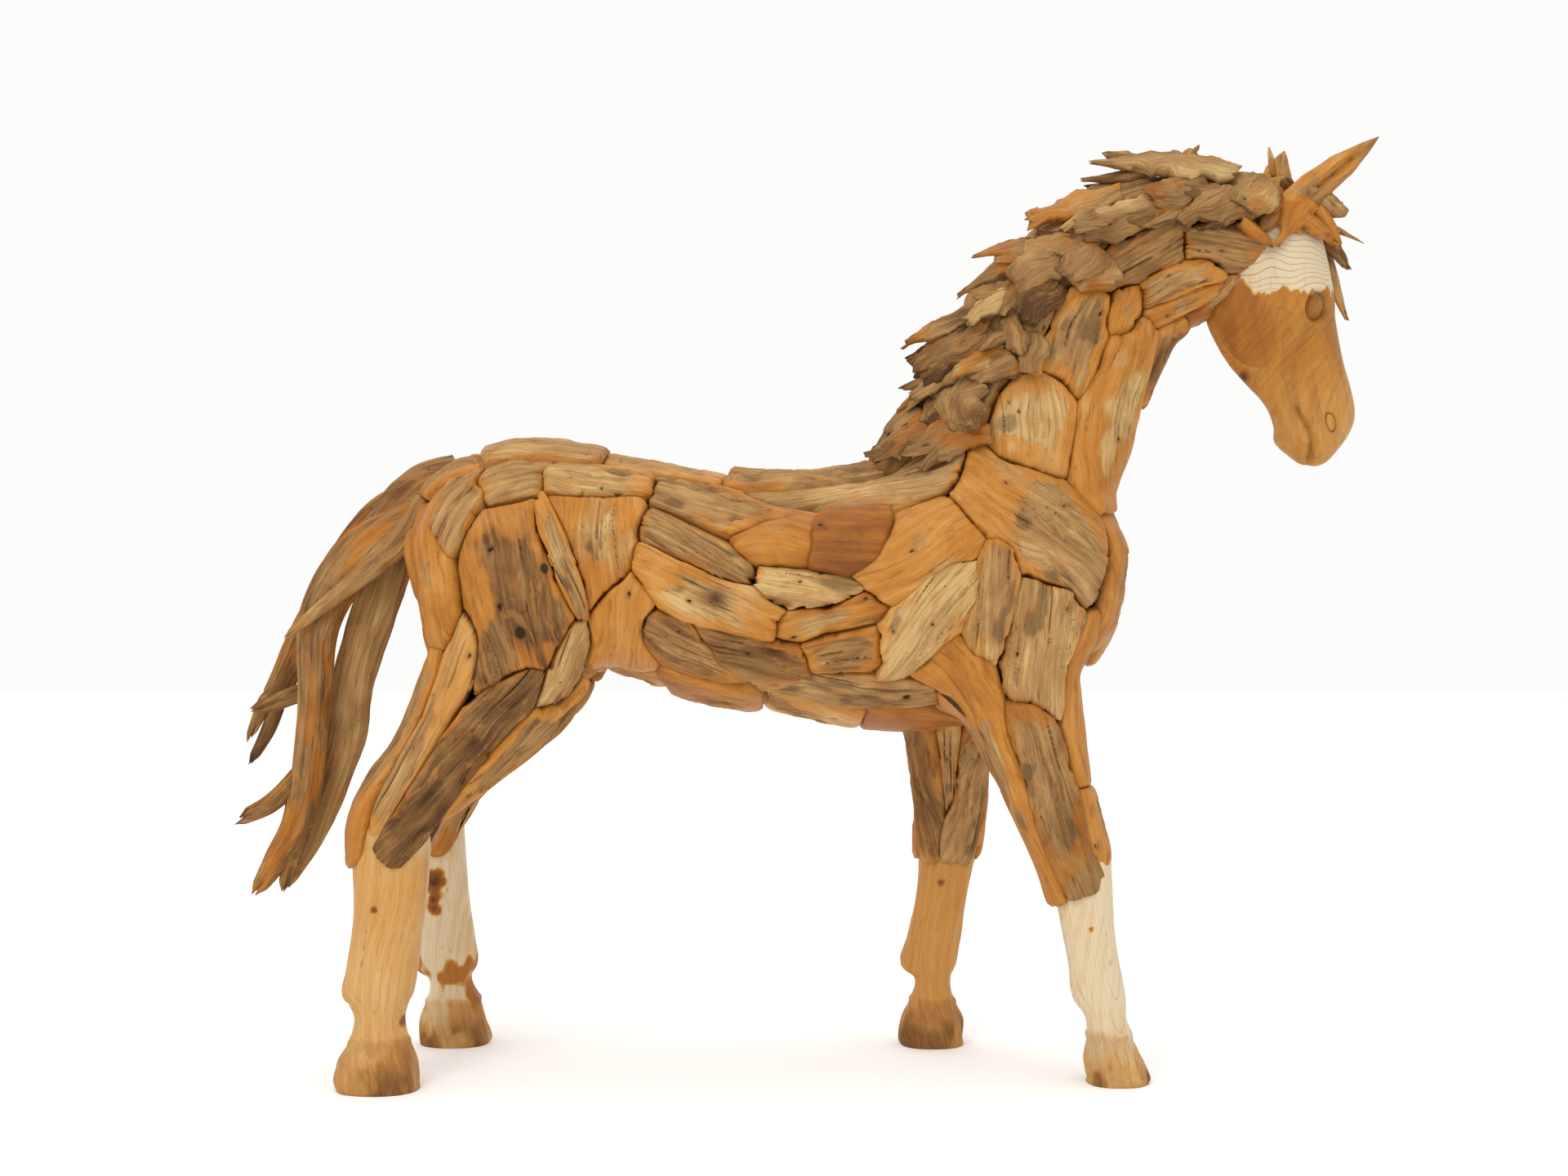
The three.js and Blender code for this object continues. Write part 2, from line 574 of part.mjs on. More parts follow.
// A closed solid from rings of equally many points, each end closed by a fan to its own pole
function closedRings(rings, firstPole, lastPole) {
  const sides = rings[0].length;
  const points = [firstPole, ...rings.flat(), lastPole];
  const triangles = [];
  for (let i = 0; i < sides; i++) {
    const next = (i + 1) % sides;
    const last = 1 + (rings.length - 1) * sides;
    triangles.push(0, 1 + next, 1 + i, points.length - 1, last + i, last + next);
    for (let ring = 0; ring < rings.length - 1; ring++) {
      const [a, b] = [1 + ring * sides, 1 + (ring + 1) * sides];
      triangles.push(a + i, a + next, b + i, a + next, b + next, b + i);
    }
  }
  const geometry = new THREE.BufferGeometry();
  geometry.setAttribute("position", new THREE.Float32BufferAttribute(points.flatMap((p) => p.toArray()), 3));
  geometry.setIndex(triangles);
  const solid = toSolid(geometry);
  return solid.volume() > 0 ? solid : toSolid(turnedInsideOut(geometry));
}

function turnedInsideOut(geometry) {
  const index = Array.from(geometry.index.array);
  for (let i = 0; i < index.length; i += 3) [index[i], index[i + 1]] = [index[i + 1], index[i]];
  geometry.setIndex(index);
  return geometry;
}

function toSolid(geometry) {
  const merged = mergeVertices(geometry, 1e-3);
  const vertProperties = new Float32Array(merged.attributes.position.array);
  const triVerts = new Uint32Array(merged.index.array);
  return new wasm.Manifold(new wasm.Mesh({ numProp: 3, vertProperties, triVerts }));
}

function toGeometry(solid) {
  const mesh = solid.getMesh();
  const geometry = new THREE.BufferGeometry();
  geometry.setAttribute("position", new THREE.BufferAttribute(new Float32Array(mesh.vertProperties), 3));
  geometry.setIndex(new THREE.BufferAttribute(new Uint32Array(mesh.triVerts), 1));
  geometry.computeVertexNormals();
  return geometry;
}

// A slab: a crowned face with bevelled edges, and a back that follows the inside of the skin
function slabSolid(slab, neighbours) {
  const sides = slab.plain ? hiddenSlabSides : slabSides;
  const angles = Array.from({ length: sides }, (_, i) => (2 * Math.PI * i) / sides);
  const reaches = angles.map((angle) => reachOf(slab, neighbours, angle));
  const thickness = slab.middle.z < stripsBelow ? stripThickness : slabThickness;
  const offSkin = (p, height) => p.clone().addScaledVector(skinNormal(p), height);
  const skinAt = (angle, share) => skinUnder(slab, angle, share) ?? skinAt(angle, 0.95 * share);
  const ring = (share, height) =>
    angles.map((angle, i) => offSkin(skinAt(angle, share * reaches[i]), height));
  const rings = slab.plain
    ? [ring(1, slab.lift), ring(1, -thickness)]
    : [ring(0.9, slab.lift), ring(1, slab.lift - bevel), ring(0.97, -thickness)];
  if (slab.wide >= broadSlab && !slab.plain) rings.unshift(ring(0.5, slab.lift + 0.8 * crown));
  return closedRings(rings, offSkin(slab.middle, slab.lift + crown), offSkin(slab.middle, -thickness));
}

// A lofted branch or splinter, along points of x, y, z, half width and half depth, its width turned to
// face out
function branchSolid(points, facing, sides) {
  const place = (row) => vector(row[0], row[1], row[2]);
  const rings = points.map((row, i) => {
    const [last, next] = [points[Math.max(i - 1, 0)], points[Math.min(i + 1, points.length - 1)]];
    const along = place(next).sub(place(last)).normalize();
    const across = new THREE.Vector3().crossVectors(facing, along).normalize();
    const out = new THREE.Vector3().crossVectors(along, across);
    return Array.from({ length: sides }, (_, k) => {
      const angle = (2 * Math.PI * (k + 0.5)) / sides;
      return place(row)
        .addScaledVector(across, row[3] * Math.cos(angle))
        .addScaledVector(out, row[4] * Math.sin(angle));
    });
  });
  return closedRings(rings, place(points[0]), place(points.at(-1)));
}

// A splinter widens from its root, then runs out to a ragged tip that stands a little off the body
function splinterSolid([, x0, y0, z0, x1, y1, z1, wide], facing) {
  const root = vector(x0, y0, z0);
  const tip = vector(x1, y1, z1);
  const shares = [
    [0, 0.36],
    [0.55, 0.5],
    [1, 0.14],
  ];
  const points = shares.map(([t, share]) => {
    const p = root.clone().lerp(tip, t);
    return [...p.toArray(), share * wide, Math.max(0.3 * share * wide, 5)];
  });
  return branchSolid(points, facing, splinterSides);
}

// A splinter of the mane is rooted on the skin and lies flat to it.
function maneSplinterSolid(row) {
  const facing = skinNormal(vector(row[1], row[2], row[3]));
  const root = vector(row[1], row[2], row[3]);
  const tip = vector(row[4], row[5], row[6]);
  root.addScaledVector(facing, -distanceToBody(root));
  tip.addScaledVector(skinNormal(tip), Math.max(splinterTipLift - distanceToBody(tip), 0));
  return splinterSolid([row[0], ...root.toArray(), ...tip.toArray(), row[7]], facing);
}

// A solid moved out by a distance, used to cut with room to spare. Each point goes along the mean normal
// of the faces round it, by their angles there, far enough that every one of them moves out by at least
// that distance.
function grown(solid, by) {
  const geometry = toGeometry(solid).deleteAttribute("normal");
  const { position } = geometry.attributes;
  const corners = Array.from(geometry.index.array);
  const place = (i) => new THREE.Vector3().fromBufferAttribute(position, i);
  const facesRound = Array.from({ length: position.count }, () => []);
  for (let i = 0; i < corners.length; i += 3) {
    const face = corners.slice(i, i + 3);
    const normal = new THREE.Triangle(...face.map(place)).getNormal(new THREE.Vector3());
    face.forEach((corner, k) => {
      const [here, next, last] = [place(corner), place(face[(k + 1) % 3]), place(face[(k + 2) % 3])];
      facesRound[corner].push({ normal, angle: next.sub(here).angleTo(last.sub(here)) });
    });
  }
  const moved = facesRound.map((faces, i) => {
    const mean = vector(0, 0, 0);
    for (const { normal, angle } of faces) mean.addScaledVector(normal, angle);
    mean.normalize();
    const leastCosine = Math.min(...faces.map(({ normal }) => normal.dot(mean)));
    return place(i).addScaledVector(mean, by / Math.max(leastCosine, sharpestCosine));
  });
  moved.forEach((p, i) => position.setXYZ(i, p.x, p.y, p.z));
  return toSolid(geometry);
}

// Horizontal sections of a leg, squared off a little like a block that was shaped with a saw and a rasp
function legSolid(sections) {
  const squareness = 0.86;
  const rings = sections.map(([z, x, y, deep, wide]) =>
    Array.from({ length: legSides }, (_, i) => {
      const angle = (2 * Math.PI * (i + 0.5)) / legSides;
      const round = (value) => Math.sign(value) * Math.abs(value) ** squareness;
      return vector(x + deep * round(Math.cos(angle)), y + wide * round(Math.sin(angle)), z);
    }),
  );
  const pole = ([z, x, y]) => vector(x, y, z);
  return closedRings(rings, pole(sections[0]), pole(sections.at(-1)));
}

function ellipsoid(x, y, z, radii, tilt) {
  const ball = new THREE.SphereGeometry(1, 8, 5).scale(...radii).rotateY(THREE.MathUtils.degToRad(-tilt));
  ball.translate(x, y, z).deleteAttribute("normal");
  return toSolid(ball.deleteAttribute("uv"));
}

// The head, with its eyes standing out, and nostrils and mouth cut in
function headSolid() {
  const rings = headSections.map(([z, jawX, frontX, wide, jawShare]) => {
    const middle = 0.55 * frontX + 0.45 * jawX;
    return Array.from({ length: headSides }, (_, i) => {
      const angle = (2 * Math.PI * (i + 0.5)) / headSides;
      const front = Math.cos(angle) > 0;
      const deep = front ? frontX - middle : middle - jawX;
      const narrowing = front ? 1 : 1 - (1 - jawShare) * Math.abs(Math.cos(angle));
      return vector(middle + deep * Math.cos(angle), wide * narrowing * Math.sin(angle), z);
    });
  });
  const pole = ([z, jawX, frontX]) => vector((jawX + frontX) / 2, 0, z);
  let head = closedRings(rings, pole(headSections[0]), pole(headSections.at(-1)));
  for (const side of [-1, 1]) {
    const ball = ellipsoid(eye.x, side * eye.y, eye.z, [eye.halfLength, eye.bulge, eye.halfHeight], eye.tilt);
    const hollow = [nostril.width / 2, nostril.depth, nostril.length / 2];
    const hole = ellipsoid(nostril.x, side * nostril.y, nostril.z, hollow, 0);
    const [[cornerX, cornerZ], [notchX, notchZ]] = [mouth.corner, mouth.notch];
    const lips = new THREE.BoxGeometry(mouth.width, 60, Math.hypot(notchX - cornerX, notchZ - cornerZ));
    lips.rotateY(Math.atan2(cornerX - notchX, cornerZ - notchZ));
    lips.translate((cornerX + notchX) / 2, side * (mouth.from + 30), (cornerZ + notchZ) / 2);
    lips.deleteAttribute("normal").deleteAttribute("uv");
    head = head.add(ball).subtract(hole).subtract(toSolid(lips));
  }
  const gap = new THREE.BoxGeometry(lipGap.width, 120, 2 * lipGap.height);
  gap.translate(mouth.notch[0], 0, headSections[0][0]).deleteAttribute("normal").deleteAttribute("uv");
  return head.subtract(toSolid(gap));
}

// An ear: a pointed leaf of wood, hollowed at the front
function earSolid([root, tip, wide, thick]) {
  const [from, to] = [vector(...root), vector(...tip)];
  const shares = [
    [0, 0.36, 0.5],
    [0.2, 0.46, 0.5],
    [0.5, 0.5, 0.42],
    [0.8, 0.3, 0.3],
    [1, 0.04, 0.1],
  ];
  const points = shares.map(([t, w, d]) => [...from.clone().lerp(to, t).toArray(), w * wide, d * thick]);
  return branchSolid(points, vector(0, Math.sign(root[1]), 0), branchSides);
}

// Every slab's place, and how proud of its neighbours it stands, so that they lie like shingles
const lifts = [6, 10, 4, 12, 7, 3, 9, 5, 11];
const slabs = [...rightSlabs, ...middleSlabs, ...leftSlabs].map((row, i) => ({
  ...placeSlab(row),
  lift: lifts[i % lifts.length],
  plain: i >= rightSlabs.length,
}));
const slabSolids = slabs.map((slab) => {
  const near = (other) => other.middle.distanceTo(slab.middle) < 0.75 * (other.long + slab.long);
  return slabSolid(slab, slabs.filter((other) => other !== slab && near(other)));
});

// The solids of each node, before they are joined
const raw = new Map();
const addTo = (node, solid) => raw.set(node, [...(raw.get(node) ?? []), solid]);
addTo("head", headSolid());
slabs.forEach((slab, i) => addTo(slab.node, slabSolids[i]));
for (const [node, sections] of Object.entries(legSections)) addTo(node, legSolid(sections));
for (const [node, ear] of Object.entries(ears)) addTo(node, earSolid(ear));
for (const row of maneSplinters) addTo(row[0], maneSplinterSolid(row));
for (const i of leftManeFrom) {
  const [, x0, y0, z0, x1, y1, z1, wide] = maneSplinters[i];
  const [dx, dz] = leftManeShift;
  addTo("left_mane", maneSplinterSolid(["left_mane", x0 + dx, -y0, z0 + dz, x1 + dx, -y1, z1 + dz, wide]));
}
for (const row of forelockSplinters) addTo(row[0], splinterSolid(row, vector(...forelockFacing).normalize()));
for (const [node, ...points] of tailBranches) {
  addTo(node, branchSolid(points, vector(0, -1, 0), branchSides));
}

// A solid with the points that lie within a hair of each other made one, where that leaves it closed
function withoutSlivers(solid) {
  const hair = 0.25;
  const merged = mergeVertices(toGeometry(solid).deleteAttribute("normal"), hair);
  const index = Array.from(merged.index.array);
  const kept = index.filter((_, i) => {
    const [a, b, c] = index.slice(i - (i % 3), i - (i % 3) + 3);
    return a !== b && b !== c && c !== a;
  });
  merged.setIndex(kept);
  try {
    return toSolid(merged);
  } catch {
    return solid;
  }
}

// Join each node's solids and cut it back from the nodes before it. A cut's loose crumbs are dropped.
const boxesMeet = (a, b) => [0, 1, 2].every((k) => a.min[k] < b.max[k] + 2 && b.min[k] < a.max[k] + 2);
const finished = new Map();
for (const [node, solids] of raw) {
  let solid = solids.reduce((joined, next) => joined.add(next));
  for (const [, other] of finished) {
    if (boxesMeet(solid.boundingBox(), other.cutter.boundingBox())) solid = solid.subtract(other.cutter);
  }
  solid = withoutSlivers(solid);
  const bodies = solid.decompose().sort((a, b) => b.volume() - a.volume());
  const cutter = solids.map((one) => grown(one, clearance)).reduce((joined, next) => joined.add(next));
  finished.set(node, { solid: bodies[0], cutter });
}

// Colours of the woods, and which node has which
const woods = {
  orange: "#c1803a",
  brown: "#996a3a",
  pale: "#b98e5f",
  grey: "#ab865a",
  cream: "#dcccad",
  honey: "#ce9a5a",
  dark: "#6c4a2c",
};
const woodOf = {
  orange: ["head", "chest_slabs", "heart_side_slab", "throat_slab", "stifle_slab", "buttock_slab"],
  brown: ["thigh_slab", "violet_rib", "middle_arm_slab", "dark_gaskin_slab", "belly_slab", "tail_branches"],
  pale: ["pale_rib", "pale_girth_slab", "neck_base_slab", "croup_plank", "right_ear", "left_ear"],
  grey: ["grey_rib", "shoulder_slab", "saddle_plank", "crest_grey_slab", "poll_slab", "tail_slabs"],
  cream: ["right_fore_leg", "left_hind_leg"],
  honey: ["right_hind_leg", "left_fore_leg", "honey_gaskin_strip"],
  dark: ["right_mane_upper", "right_mane_lower", "left_mane"],
};
const woodFor = (node) => Object.keys(woodOf).find((wood) => woodOf[wood].includes(node)) ?? "orange";

const horse = new THREE.Group();
for (const [node, { solid }] of finished) {
  const color = woods[woodFor(node)];
  const material = new THREE.MeshStandardMaterial({ color, roughness: 0.75, metalness: 0 });
  const mesh = new THREE.Mesh(toGeometry(solid), material);
  mesh.name = node;
  horse.add(mesh);
}

export default horse;
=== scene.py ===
# A life-size standing horse, built up from slabs, strips and branches of weathered teak driftwood.
# Metres. +X runs from tail to head, +Y to the horse's left, +Z up. Right and left are the horse's own.
import json
import math
import bpy
import numpy as np
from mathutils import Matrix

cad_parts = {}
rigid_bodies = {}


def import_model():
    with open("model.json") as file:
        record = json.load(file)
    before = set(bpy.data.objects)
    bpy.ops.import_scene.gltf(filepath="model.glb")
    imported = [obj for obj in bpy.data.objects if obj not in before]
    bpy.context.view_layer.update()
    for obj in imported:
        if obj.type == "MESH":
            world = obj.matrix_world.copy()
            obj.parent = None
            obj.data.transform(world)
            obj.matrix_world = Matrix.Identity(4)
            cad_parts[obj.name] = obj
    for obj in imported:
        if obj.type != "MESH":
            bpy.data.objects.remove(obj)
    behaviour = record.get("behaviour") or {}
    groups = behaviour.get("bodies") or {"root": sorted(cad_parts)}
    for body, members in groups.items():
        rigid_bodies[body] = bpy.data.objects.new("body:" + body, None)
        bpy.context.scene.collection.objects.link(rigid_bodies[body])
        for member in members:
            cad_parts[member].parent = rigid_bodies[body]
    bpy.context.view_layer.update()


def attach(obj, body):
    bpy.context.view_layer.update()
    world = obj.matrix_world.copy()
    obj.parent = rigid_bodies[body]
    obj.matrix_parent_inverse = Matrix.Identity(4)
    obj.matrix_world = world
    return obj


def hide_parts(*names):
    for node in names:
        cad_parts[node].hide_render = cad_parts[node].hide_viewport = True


for leftover in list(bpy.data.objects):  # Blender's own startup cube, lamp and camera
    bpy.data.objects.remove(leftover)
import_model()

axisY = np.array([0.0, 1.0, 0.0])


# Camera, floor and light

studio = {
    "cameraPlace": (-0.051, -4.2, 0.918),  # level, square to the horse's side
    "lens": 50,
    "sensor": 36,
    "floorSize": 30,
    "floorColour": (0.93, 0.925, 0.915, 1),
    "floorRoughness": 0.9,
    "floorGlow": 0.09,  # lifts the far floor to the white of the room
    "worldColour": (1.0, 0.995, 0.985, 1),
    "worldStrength": 0.98,
    "lamps": [  # name, place, size, watts, colour
        ("keyLamp", (-2.4, -4.4, 4.2), 2.4, 105, (1.0, 0.98, 0.94)),
        ("fillLamp", (3.8, -3.6, 2.4), 3.2, 16, (1.0, 0.99, 0.97)),
        ("topLamp", (0.2, 0.2, 4.8), 2.6, 42, (1.0, 0.99, 0.98)),
        ("backLamp", (-1.5, 5.0, 3.2), 3.6, 18, (1.0, 0.99, 0.97)),
    ],
    "lookAt": (0.0, 0.0, 0.85),
}


def addObject(name, data):
    thing = bpy.data.objects.new(name, data)
    bpy.context.collection.objects.link(thing)
    return thing


def setSockets(node, values):
    for name, value in values.items():
        node.inputs[name].default_value = value


def aimAt(thing, target):
    # turn a lamp so that its -Z points at the target
    direction = np.array(target) - np.array(thing.location)
    flat = math.hypot(direction[0], direction[1])
    thing.rotation_euler = (math.atan2(flat, -direction[2]), 0, math.atan2(-direction[0], direction[1]))


def buildStudio():
    camera = addObject("photoCamera", bpy.data.cameras.new("photoCamera"))
    camera.location = studio["cameraPlace"]
    camera.rotation_euler = (math.radians(90), 0, 0)
    camera.data.lens = studio["lens"]
    camera.data.sensor_width = studio["sensor"]
    camera.data.sensor_fit = "HORIZONTAL"
    bpy.context.scene.camera = camera

    half = studio["floorSize"] / 2
    floorMesh = bpy.data.meshes.new("studioFloor")
    corners = [(-half, -half, 0), (half, -half, 0), (half, half, 0), (-half, half, 0)]
    floorMesh.from_pydata(corners, [], [(0, 1, 2, 3)])
    paint = bpy.data.materials.new("floorPaint")
    paint.use_nodes = True
    setSockets(paint.node_tree.nodes["Principled BSDF"], {
        "Base Color": studio["floorColour"], "Roughness": studio["floorRoughness"],
        "Emission Color": (1, 1, 1, 1), "Emission Strength": studio["floorGlow"],
    })
    floorMesh.materials.append(paint)
    addObject("studioFloor", floorMesh)

    for name, place, size, watts, colour in studio["lamps"]:
        lamp = addObject(name, bpy.data.lights.new(name, "AREA"))
        lamp.data.size = size
        lamp.data.energy = watts
        lamp.data.color = colour
        lamp.location = place
        aimAt(lamp, studio["lookAt"])

    world = bpy.data.worlds.new("paleRoom")
    world.use_nodes = True
    background = world.node_tree.nodes["Background"]
    setSockets(background, {"Color": studio["worldColour"], "Strength": studio["worldStrength"]})
    bpy.context.scene.world = world
    bpy.context.scene.view_settings.view_transform = "Standard"


buildStudio()
print("camera, floor and lamps are in place")


# Small maths shared by all the pieces

def unit(vectors):
    return vectors / np.maximum(np.linalg.norm(vectors, axis=-1, keepdims=True), 1e-12)


def dot(a, b):
    return (a * b).sum(-1)


def stacked(*arrays):
    return np.stack(np.broadcast_arrays(*arrays), axis=-1)


def moved(amounts, axes):
    return amounts[..., None] * axes


def smoothStep(low, high, x):
    t = np.clip((x - low) / (high - low), 0, 1)
    return t * t * (3 - 2 * t)


def hump(x, middle, width):
    return np.exp(-((x - middle) / width) ** 2)


def signedPower(value, power):
    return np.sign(value) * np.abs(value) ** power


def latticeValues(cells, seed):
    # a repeatable random number from 0 to 1 for each whole-number cell, by mixing its bits
    mixed = (cells * (374761393, 668265263, 2147483647)).sum(-1) + seed * 974634777
    mixed = mixed & 0xFFFFFFFF
    mixed = ((mixed ^ (mixed >> 13)) * 1274126177) & 0xFFFFFFFF
    return ((mixed ^ (mixed >> 16)) & 0xFFFF) / 65535


def smoothNoise(points, seed):
    # value noise: random numbers on a lattice, blended smoothly along the three axes
    base = np.floor(points).astype(np.int64)
    t = points - base
    t = t * t * (3 - 2 * t)
    total = 0
    for corner in np.ndindex(2, 2, 2):
        weight = np.prod(np.where(corner, t, 1 - t), axis=-1)
        total = total + weight * latticeValues(base + np.array(corner), seed)
    return total


def layeredNoise(points, seed, layers=3):
    # from 0 to 1: each layer is twice as fine and half as strong
    total, strength, scale = 0, 0, 1.0
    for layer in range(layers):
        total = total + smoothNoise(points * 2 ** layer, seed + layer) * scale
        strength += scale
        scale *= 0.5
    return total / strength


def noiseSwing(points, seed, layers=3):
    return layeredNoise(points, seed, layers) - 0.5


def smoothRows(stations, step):
    # a Catmull-Rom line of numbers through the stations, with about one row for each step of length
    points = np.array(stations, float)
    padded = np.vstack([2 * points[0] - points[1], points, 2 * points[-1] - points[-2]])
    rows = []
    for i in range(len(points) - 1):
        a, b, c, d = padded[i:i + 4]
        count = max(1, round(np.linalg.norm((c - b)[:3]) / step))
        t = (np.arange(count) / count)[:, None]
        bend = 2 * a - 5 * b + 4 * c - d
        rows.append(0.5 * (2 * b + (c - a) * t + bend * t ** 2 + (3 * b - a - 3 * c + d) * t ** 3))
    return np.vstack(rows + [points[-1:]])


# The body's form, as limbs. A station is x, y, z, half depth from the side and half width from the front.

bodyForm = {
    "fillet": 0.07,  # where limbs meet
    "step": 0.045,
    "limbs": {
        "torso": [
            (-0.665, 0, 1.055, 0.1, 0.125), (-0.6, 0, 1.033, 0.155, 0.18), (-0.5, 0, 1.007, 0.187, 0.212),
            (-0.4, 0, 0.976, 0.201, 0.226), (-0.3, 0, 0.951, 0.206, 0.236), (-0.145, 0, 0.917, 0.217, 0.25),
            (0.01, 0, 0.902, 0.23, 0.256), (0.1, 0, 0.899, 0.245, 0.254), (0.2, 0, 0.91, 0.254, 0.246),
            (0.3, 0, 0.93, 0.258, 0.234), (0.4, 0, 0.95, 0.225, 0.215), (0.44, 0, 0.968, 0.17, 0.186),
            (0.468, 0, 0.986, 0.118, 0.146),
        ],
        "neck": [
            (0.345, 0, 1.113, 0.216, 0.17), (0.422, 0, 1.238, 0.2, 0.145), (0.459, 0, 1.343, 0.189, 0.126),
            (0.497, 0, 1.425, 0.188, 0.113), (0.572, 0, 1.509, 0.168, 0.103),
            (0.655, 0, 1.557, 0.155, 0.098), (0.752, 0, 1.582, 0.134, 0.094),
            (0.85, 0, 1.613, 0.108, 0.086),
        ],
        "rightHindLeg": [
            (-0.59, -0.105, 1.005, 0.168, 0.12), (-0.566, -0.128, 0.885, 0.162, 0.112),
            (-0.558, -0.138, 0.785, 0.153, 0.1), (-0.621, -0.142, 0.685, 0.116, 0.084),
            (-0.704, -0.15, 0.575, 0.084, 0.07), (-0.772, -0.16, 0.485, 0.072, 0.062),
            (-0.779, -0.172, 0.365, 0.068, 0.058),
        ],
        "leftHindLeg": [
            (-0.575, 0.105, 1.005, 0.168, 0.12), (-0.562, 0.128, 0.885, 0.166, 0.112),
            (-0.56, 0.142, 0.785, 0.15, 0.1), (-0.616, 0.152, 0.685, 0.113, 0.084),
            (-0.699, 0.165, 0.575, 0.08, 0.07), (-0.752, 0.176, 0.475, 0.074, 0.062),
            (-0.756, 0.19, 0.355, 0.066, 0.056),
        ],
        "rightForeLeg": [
            (0.42, -0.095, 0.995, 0.165, 0.11), (0.404, -0.125, 0.885, 0.144, 0.1),
            (0.384, -0.138, 0.785, 0.112, 0.088), (0.399, -0.142, 0.685, 0.101, 0.076),
            (0.429, -0.146, 0.585, 0.081, 0.066), (0.462, -0.148, 0.485, 0.066, 0.06),
            (0.482, -0.148, 0.425, 0.059, 0.054), (0.506, -0.146, 0.325, 0.054, 0.048),
        ],
        "leftForeLeg": [
            (0.37, 0.095, 0.945, 0.16, 0.11), (0.33, 0.125, 0.835, 0.125, 0.096),
            (0.292, 0.145, 0.735, 0.102, 0.082), (0.283, 0.165, 0.635, 0.083, 0.072),
            (0.285, 0.18, 0.545, 0.073, 0.064), (0.286, 0.188, 0.455, 0.068, 0.058),
            (0.276, 0.195, 0.345, 0.064, 0.052),
        ],
    },
}


def limbSegments(stations):
    rows = smoothRows(stations, bodyForm["step"])
    segments = []
    for start, end in zip(rows[:-1], rows[1:]):
        length = np.linalg.norm(end[:3] - start[:3])
        along = (end[:3] - start[:3]) / length
        across = unit(axisY - along * along[1])
        segments.append((start, end, along, across, np.cross(along, across), length))
    return segments


limbs = [limbSegments(stations) for stations in bodyForm["limbs"].values()]


def bodyDistance(points):
    # distance to the skin, below zero inside: a limb is a chain of ellipses, joined to the others by a fillet
    joined = None
    for segments in limbs:
        nearest = np.full(len(points), 1e9)
        for start, end, along, across, up, length in segments:
            q = points - start[:3]
            t = np.clip(q @ along / length, 0, 1)
            q = q - (t * length)[:, None] * along
            deep = start[3] + t * (end[3] - start[3])
            wide = start[4] + t * (end[4] - start[4])
            cap = 0.9 * np.minimum(deep, wide)
            share = np.sqrt((q @ along / cap) ** 2 + (q @ up / deep) ** 2 + (q @ across / wide) ** 2) + 1e-9
            nearest = np.minimum(nearest, np.linalg.norm(q, axis=1) * (1 - 1 / share))
        if joined is None:
            joined = nearest
        else:
            h = np.maximum(bodyForm["fillet"] - np.abs(joined - nearest), 0) / bodyForm["fillet"]
            joined = np.minimum(joined, nearest) - h * h * bodyForm["fillet"] / 4
    return joined


def skinNormal(points):
    step = 0.004
    slopes = [bodyDistance(points + step * axis) - bodyDistance(points - step * axis) for axis in np.eye(3)]
    return unit(np.stack(slopes, axis=1))


def castToSkin(origins, directions, reach):
    # walk along each line until it crosses the skin, then halve the last stride until it is found
    distance = bodyDistance(origins)
    startsInside = distance < 0
    near, far = np.zeros(len(origins)), np.zeros(len(origins))
    found = np.zeros(len(origins), bool)
    walking = np.arange(len(origins))
    while len(walking):
        near[walking] = far[walking]
        far[walking] += np.maximum(0.006, 0.7 * np.abs(distance[walking]))
        distance[walking] = bodyDistance(origins[walking] + far[walking, None] * directions[walking])
        crossed = (distance[walking] < 0) != startsInside[walking]
        found[walking[crossed]] = True
        walking = walking[~crossed & (far[walking] < reach)]
    hit = np.flatnonzero(found)
    for halving in range(10):
        middle = (near[hit] + far[hit]) / 2
        same = (bodyDistance(origins[hit] + middle[:, None] * directions[hit]) < 0) == startsInside[hit]
        near[hit] = np.where(same, middle, near[hit])
        far[hit] = np.where(same, far[hit], middle)
    return origins + far[:, None] * directions, found


# The slabs, in groups with one node and one facing. A slab is x, y, z of a point inside under its middle,
# length, width, the tilt of its length above +X in degrees, how much it narrows towards that end, the wood
# from 0 dark red to 1 cream, the weathered patch's colour from 0 dark brown to 1 pale, the share of the face
# that the patch takes, and how far the patch is moved towards the end that the tilt points to.

